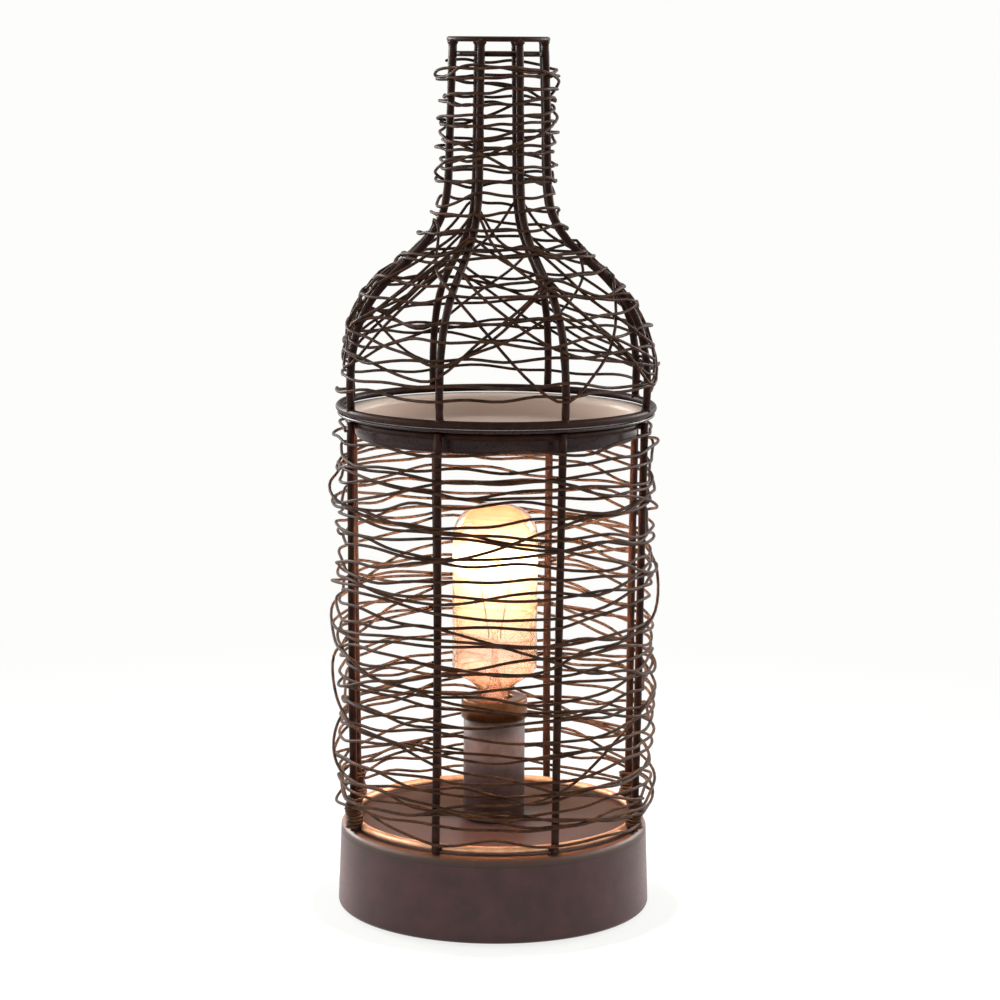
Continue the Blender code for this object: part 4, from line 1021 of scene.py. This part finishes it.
foot_row = weld_row(CAGE_FOOT_RADIUS - FOOT_BEAD_INSET, CAGE_RING_HEIGHT - FOOT_BEAD_DROP, CAGE_FOOT_TURN,
                    FOOT_BEAD)
head_row = weld_row(CAGE_HEAD_RADIUS - HEAD_BEAD_INSET, TOP_RING_HEIGHT, CAGE_HEAD_TURN, HEAD_BEAD)
make_piece("cage_weld_beads", *join(foot_row + head_row), rod_lacquer, "base", "cage_wire")
lid_row = weld_row(LID_RING_RADIUS, LID_FOOT - LID_BEAD_DROP, LID_TURN, HEAD_BEAD)
neck_row = weld_row(NECK_RING_RADIUS, LID_HEAD + NECK_BEAD_RISE, LID_TURN, NECK_BEAD)
make_piece("lid_weld_beads", *join(lid_row + neck_row), rod_lacquer, "lid", "cage_wire")

# %% [markdown]
# ## Wax dish
# A pressed steel dish: a flat flange that lies on the cage's head, a bend, a short wall and a flat floor. One
# profile goes over the inside, round the flange's edge and back along the underside.

# %% Wax dish
DISH_PLAY = 1.0
DISH_DEPTH = 10.0
DISH_CORNER = 2.0
FLANGE_EDGE = 0.6
WALL_RADIUS = CAGE_HEAD_RADIUS - RING_INSET - ROD - DISH_PLAY
DISH_BOTTOM = FLANGE_TOP - DISH_DEPTH
lip = 2 * DISH_METAL
corner_centre = (WALL_RADIUS - DISH_CORNER, DISH_BOTTOM + DISH_CORNER)
dish_profile = [
    [(0.0, DISH_BOTTOM + DISH_METAL)],
    arc(corner_centre, DISH_CORNER - DISH_METAL, -90, 0, 4),
    arc((WALL_RADIUS - DISH_METAL + lip, FLANGE_TOP - lip), lip, 180, 90, 8),
    arc((FLANGE_RADIUS - FLANGE_EDGE, FLANGE_TOP - FLANGE_EDGE), FLANGE_EDGE, 90, -90, 8),
    arc((WALL_RADIUS + DISH_METAL, FLANGE_TOP - lip), DISH_METAL, 90, 180, 6),
    arc(corner_centre, DISH_CORNER, 0, -90, 8),
    [(0.0, DISH_BOTTOM)],
]
make_piece("pressed_wax_dish", *revolve(dish_profile, WIDE_SIDES), dish_enamel, "dish", "dish_enamel",
           ["wax_dish"])

# %% [markdown]
# ## Lamp holder
# A candle-like sleeve covers the socket, and a browned brass collar closes its top. Both are turned shapes.
# The parts inside are small and mostly hidden, so their CAD solids stay and only get their finish.

# %% Sleeve and collar
SLEEVE_RADIUS = 11.95
SLEEVE_METAL = 0.6
COLLAR_TOP = 82.6
COLLAR_HEIGHT = 7.9
COLLAR_METAL = 0.6
COLLAR_ROOF = 1.0
COLLAR_MOUTH = 7.2
sleeve_top = COLLAR_TOP - COLLAR_ROOF - GAP
sleeve_profile = [
    [(SLEEVE_RADIUS - SLEEVE_METAL, sleeve_top), (SLEEVE_RADIUS, sleeve_top)],
    [(SLEEVE_RADIUS, BASE_TOP + GAP), (SLEEVE_RADIUS - SLEEVE_METAL, BASE_TOP + GAP)],
]
make_piece("candle_sleeve", *revolve(sleeve_profile, SLIM_SIDES), sleeve_paint, "base", "bronze_paint",
           ["holder_sleeve"])
skirt = SLEEVE_RADIUS + GAP + COLLAR_METAL
skirt_foot = COLLAR_TOP - COLLAR_HEIGHT
collar_profile = [
    [(COLLAR_MOUTH, COLLAR_TOP)],
    arc((skirt - COLLAR_ROOF, COLLAR_TOP - COLLAR_ROOF), COLLAR_ROOF, 90, 0, 6),
    [(skirt, skirt_foot), (skirt - COLLAR_METAL, skirt_foot)],
    [(skirt - COLLAR_METAL, COLLAR_TOP - COLLAR_ROOF), (COLLAR_MOUTH, COLLAR_TOP - COLLAR_ROOF)],
]
make_piece("brass_collar", *revolve(collar_profile, SLIM_SIDES), collar_brass, "base", "copper_brass",
           ["holder_collar"])

# %% [markdown]
# ## Lamp
# The glass is blown: a narrow neck in the threaded cap, a swelling shoulder, a straight body and a dome. An
# outer and an inner skin from the same outline give it a real wall, so that it bends light as glass does.

# %% Lamp glass
# Wall, neck, height of the shoulder's top above the foot, height of the swell and of the dome, in mm
GLASS_WALL = 0.8
GLASS_NECK_RADIUS = 6.1
GLASS_SHOULDER = 15
GLASS_SWELL = 11
GLASS_DOME = 13
DOME_SQUARENESS = 0.8
GLASS_STEPS = 16
glass_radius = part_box("lamp_glass")[1][0] / MM


def glass_line(inset):
    """The envelope's outline from its top to its foot, drawn in by an inset: a dome, whose radius is a power
    of a cosine, a straight side, and a swell that follows half a cosine wave."""
    polar = np.linspace(np.pi / 2, 0, GLASS_STEPS)
    reach = glass_radius - inset
    dome_height = GLASS_TOP - inset - (GLASS_DOME - inset) * (1 - np.sin(polar))
    dome = np.column_stack([reach * np.cos(polar) ** DOME_SQUARENESS, dome_height])
    dome[0, 0] = 0.0
    share = np.linspace(0, 1, GLASS_STEPS)
    neck_radius = GLASS_NECK_RADIUS - inset
    swell = 0.5 + 0.5 * np.cos(np.pi * share)
    neck_height = GLASS_BOTTOM + GLASS_SHOULDER - GLASS_SWELL * share
    neck = np.column_stack([neck_radius + (reach - neck_radius) * swell, neck_height])
    return np.vstack([dome, neck, [(neck_radius, GLASS_BOTTOM + inset), (0.0, GLASS_BOTTOM + inset)]])


outer_skin = revolve([glass_line(0.0)], SLIM_SIDES)
inner_points, inner_faces = revolve([glass_line(GLASS_WALL)], SLIM_SIDES)
inner_faces = facing_out(inner_points, inner_faces)[:, ::-1] + len(outer_skin[0])
glass_points = np.vstack([outer_skin[0], inner_points])
glass_faces = np.vstack([facing_out(*outer_skin), inner_faces])
make_piece("lamp_envelope", glass_points, glass_faces, lamp_glow, "lamp", "lamp_glass", ["lamp_glass"])

# %% [markdown]
# ## Finishes for the CAD pieces that stay
# Screws, nuts, nipple, strap, socket, cap, filament and feet are small parts that the CAD model already
# shows as they are, so only their finish is set.

# %% Finishes for the CAD pieces that stay
kept = {
    zinc_plate: ["plate_screw_1", "plate_screw_2", "plate_screw_3", "lamp_nipple", "nipple_washer",
                 "socket_strap", "strap_rivet", "lamp_end_contact", "filament_support_left",
                 "filament_support_right"],
    cap_brass: ["nipple_nut_lower", "nipple_nut_upper", "socket_screw_shell", "centre_contact",
                "terminal_screw_left", "terminal_screw_right", "lamp_cap"],
    black_rubber: ["foot_1", "foot_2", "foot_3", "cord_grommet"],
    plate_paint: ["base_bottom_plate"],
    phenolic: ["socket_body"],
    filament_glow: ["filament"],
    lamp_glow: ["lamp_stem"],
}
for material, nodes in kept.items():
    for node in nodes:
        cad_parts[node].material_slots[0].material = material
print("CAD pieces finished:", sum(len(nodes) for nodes in kept.values()))

# %% [markdown]
# ## Finish
# The view transform is set to Standard.

# %% View settings
bpy.context.scene.view_settings.view_transform = "Standard"
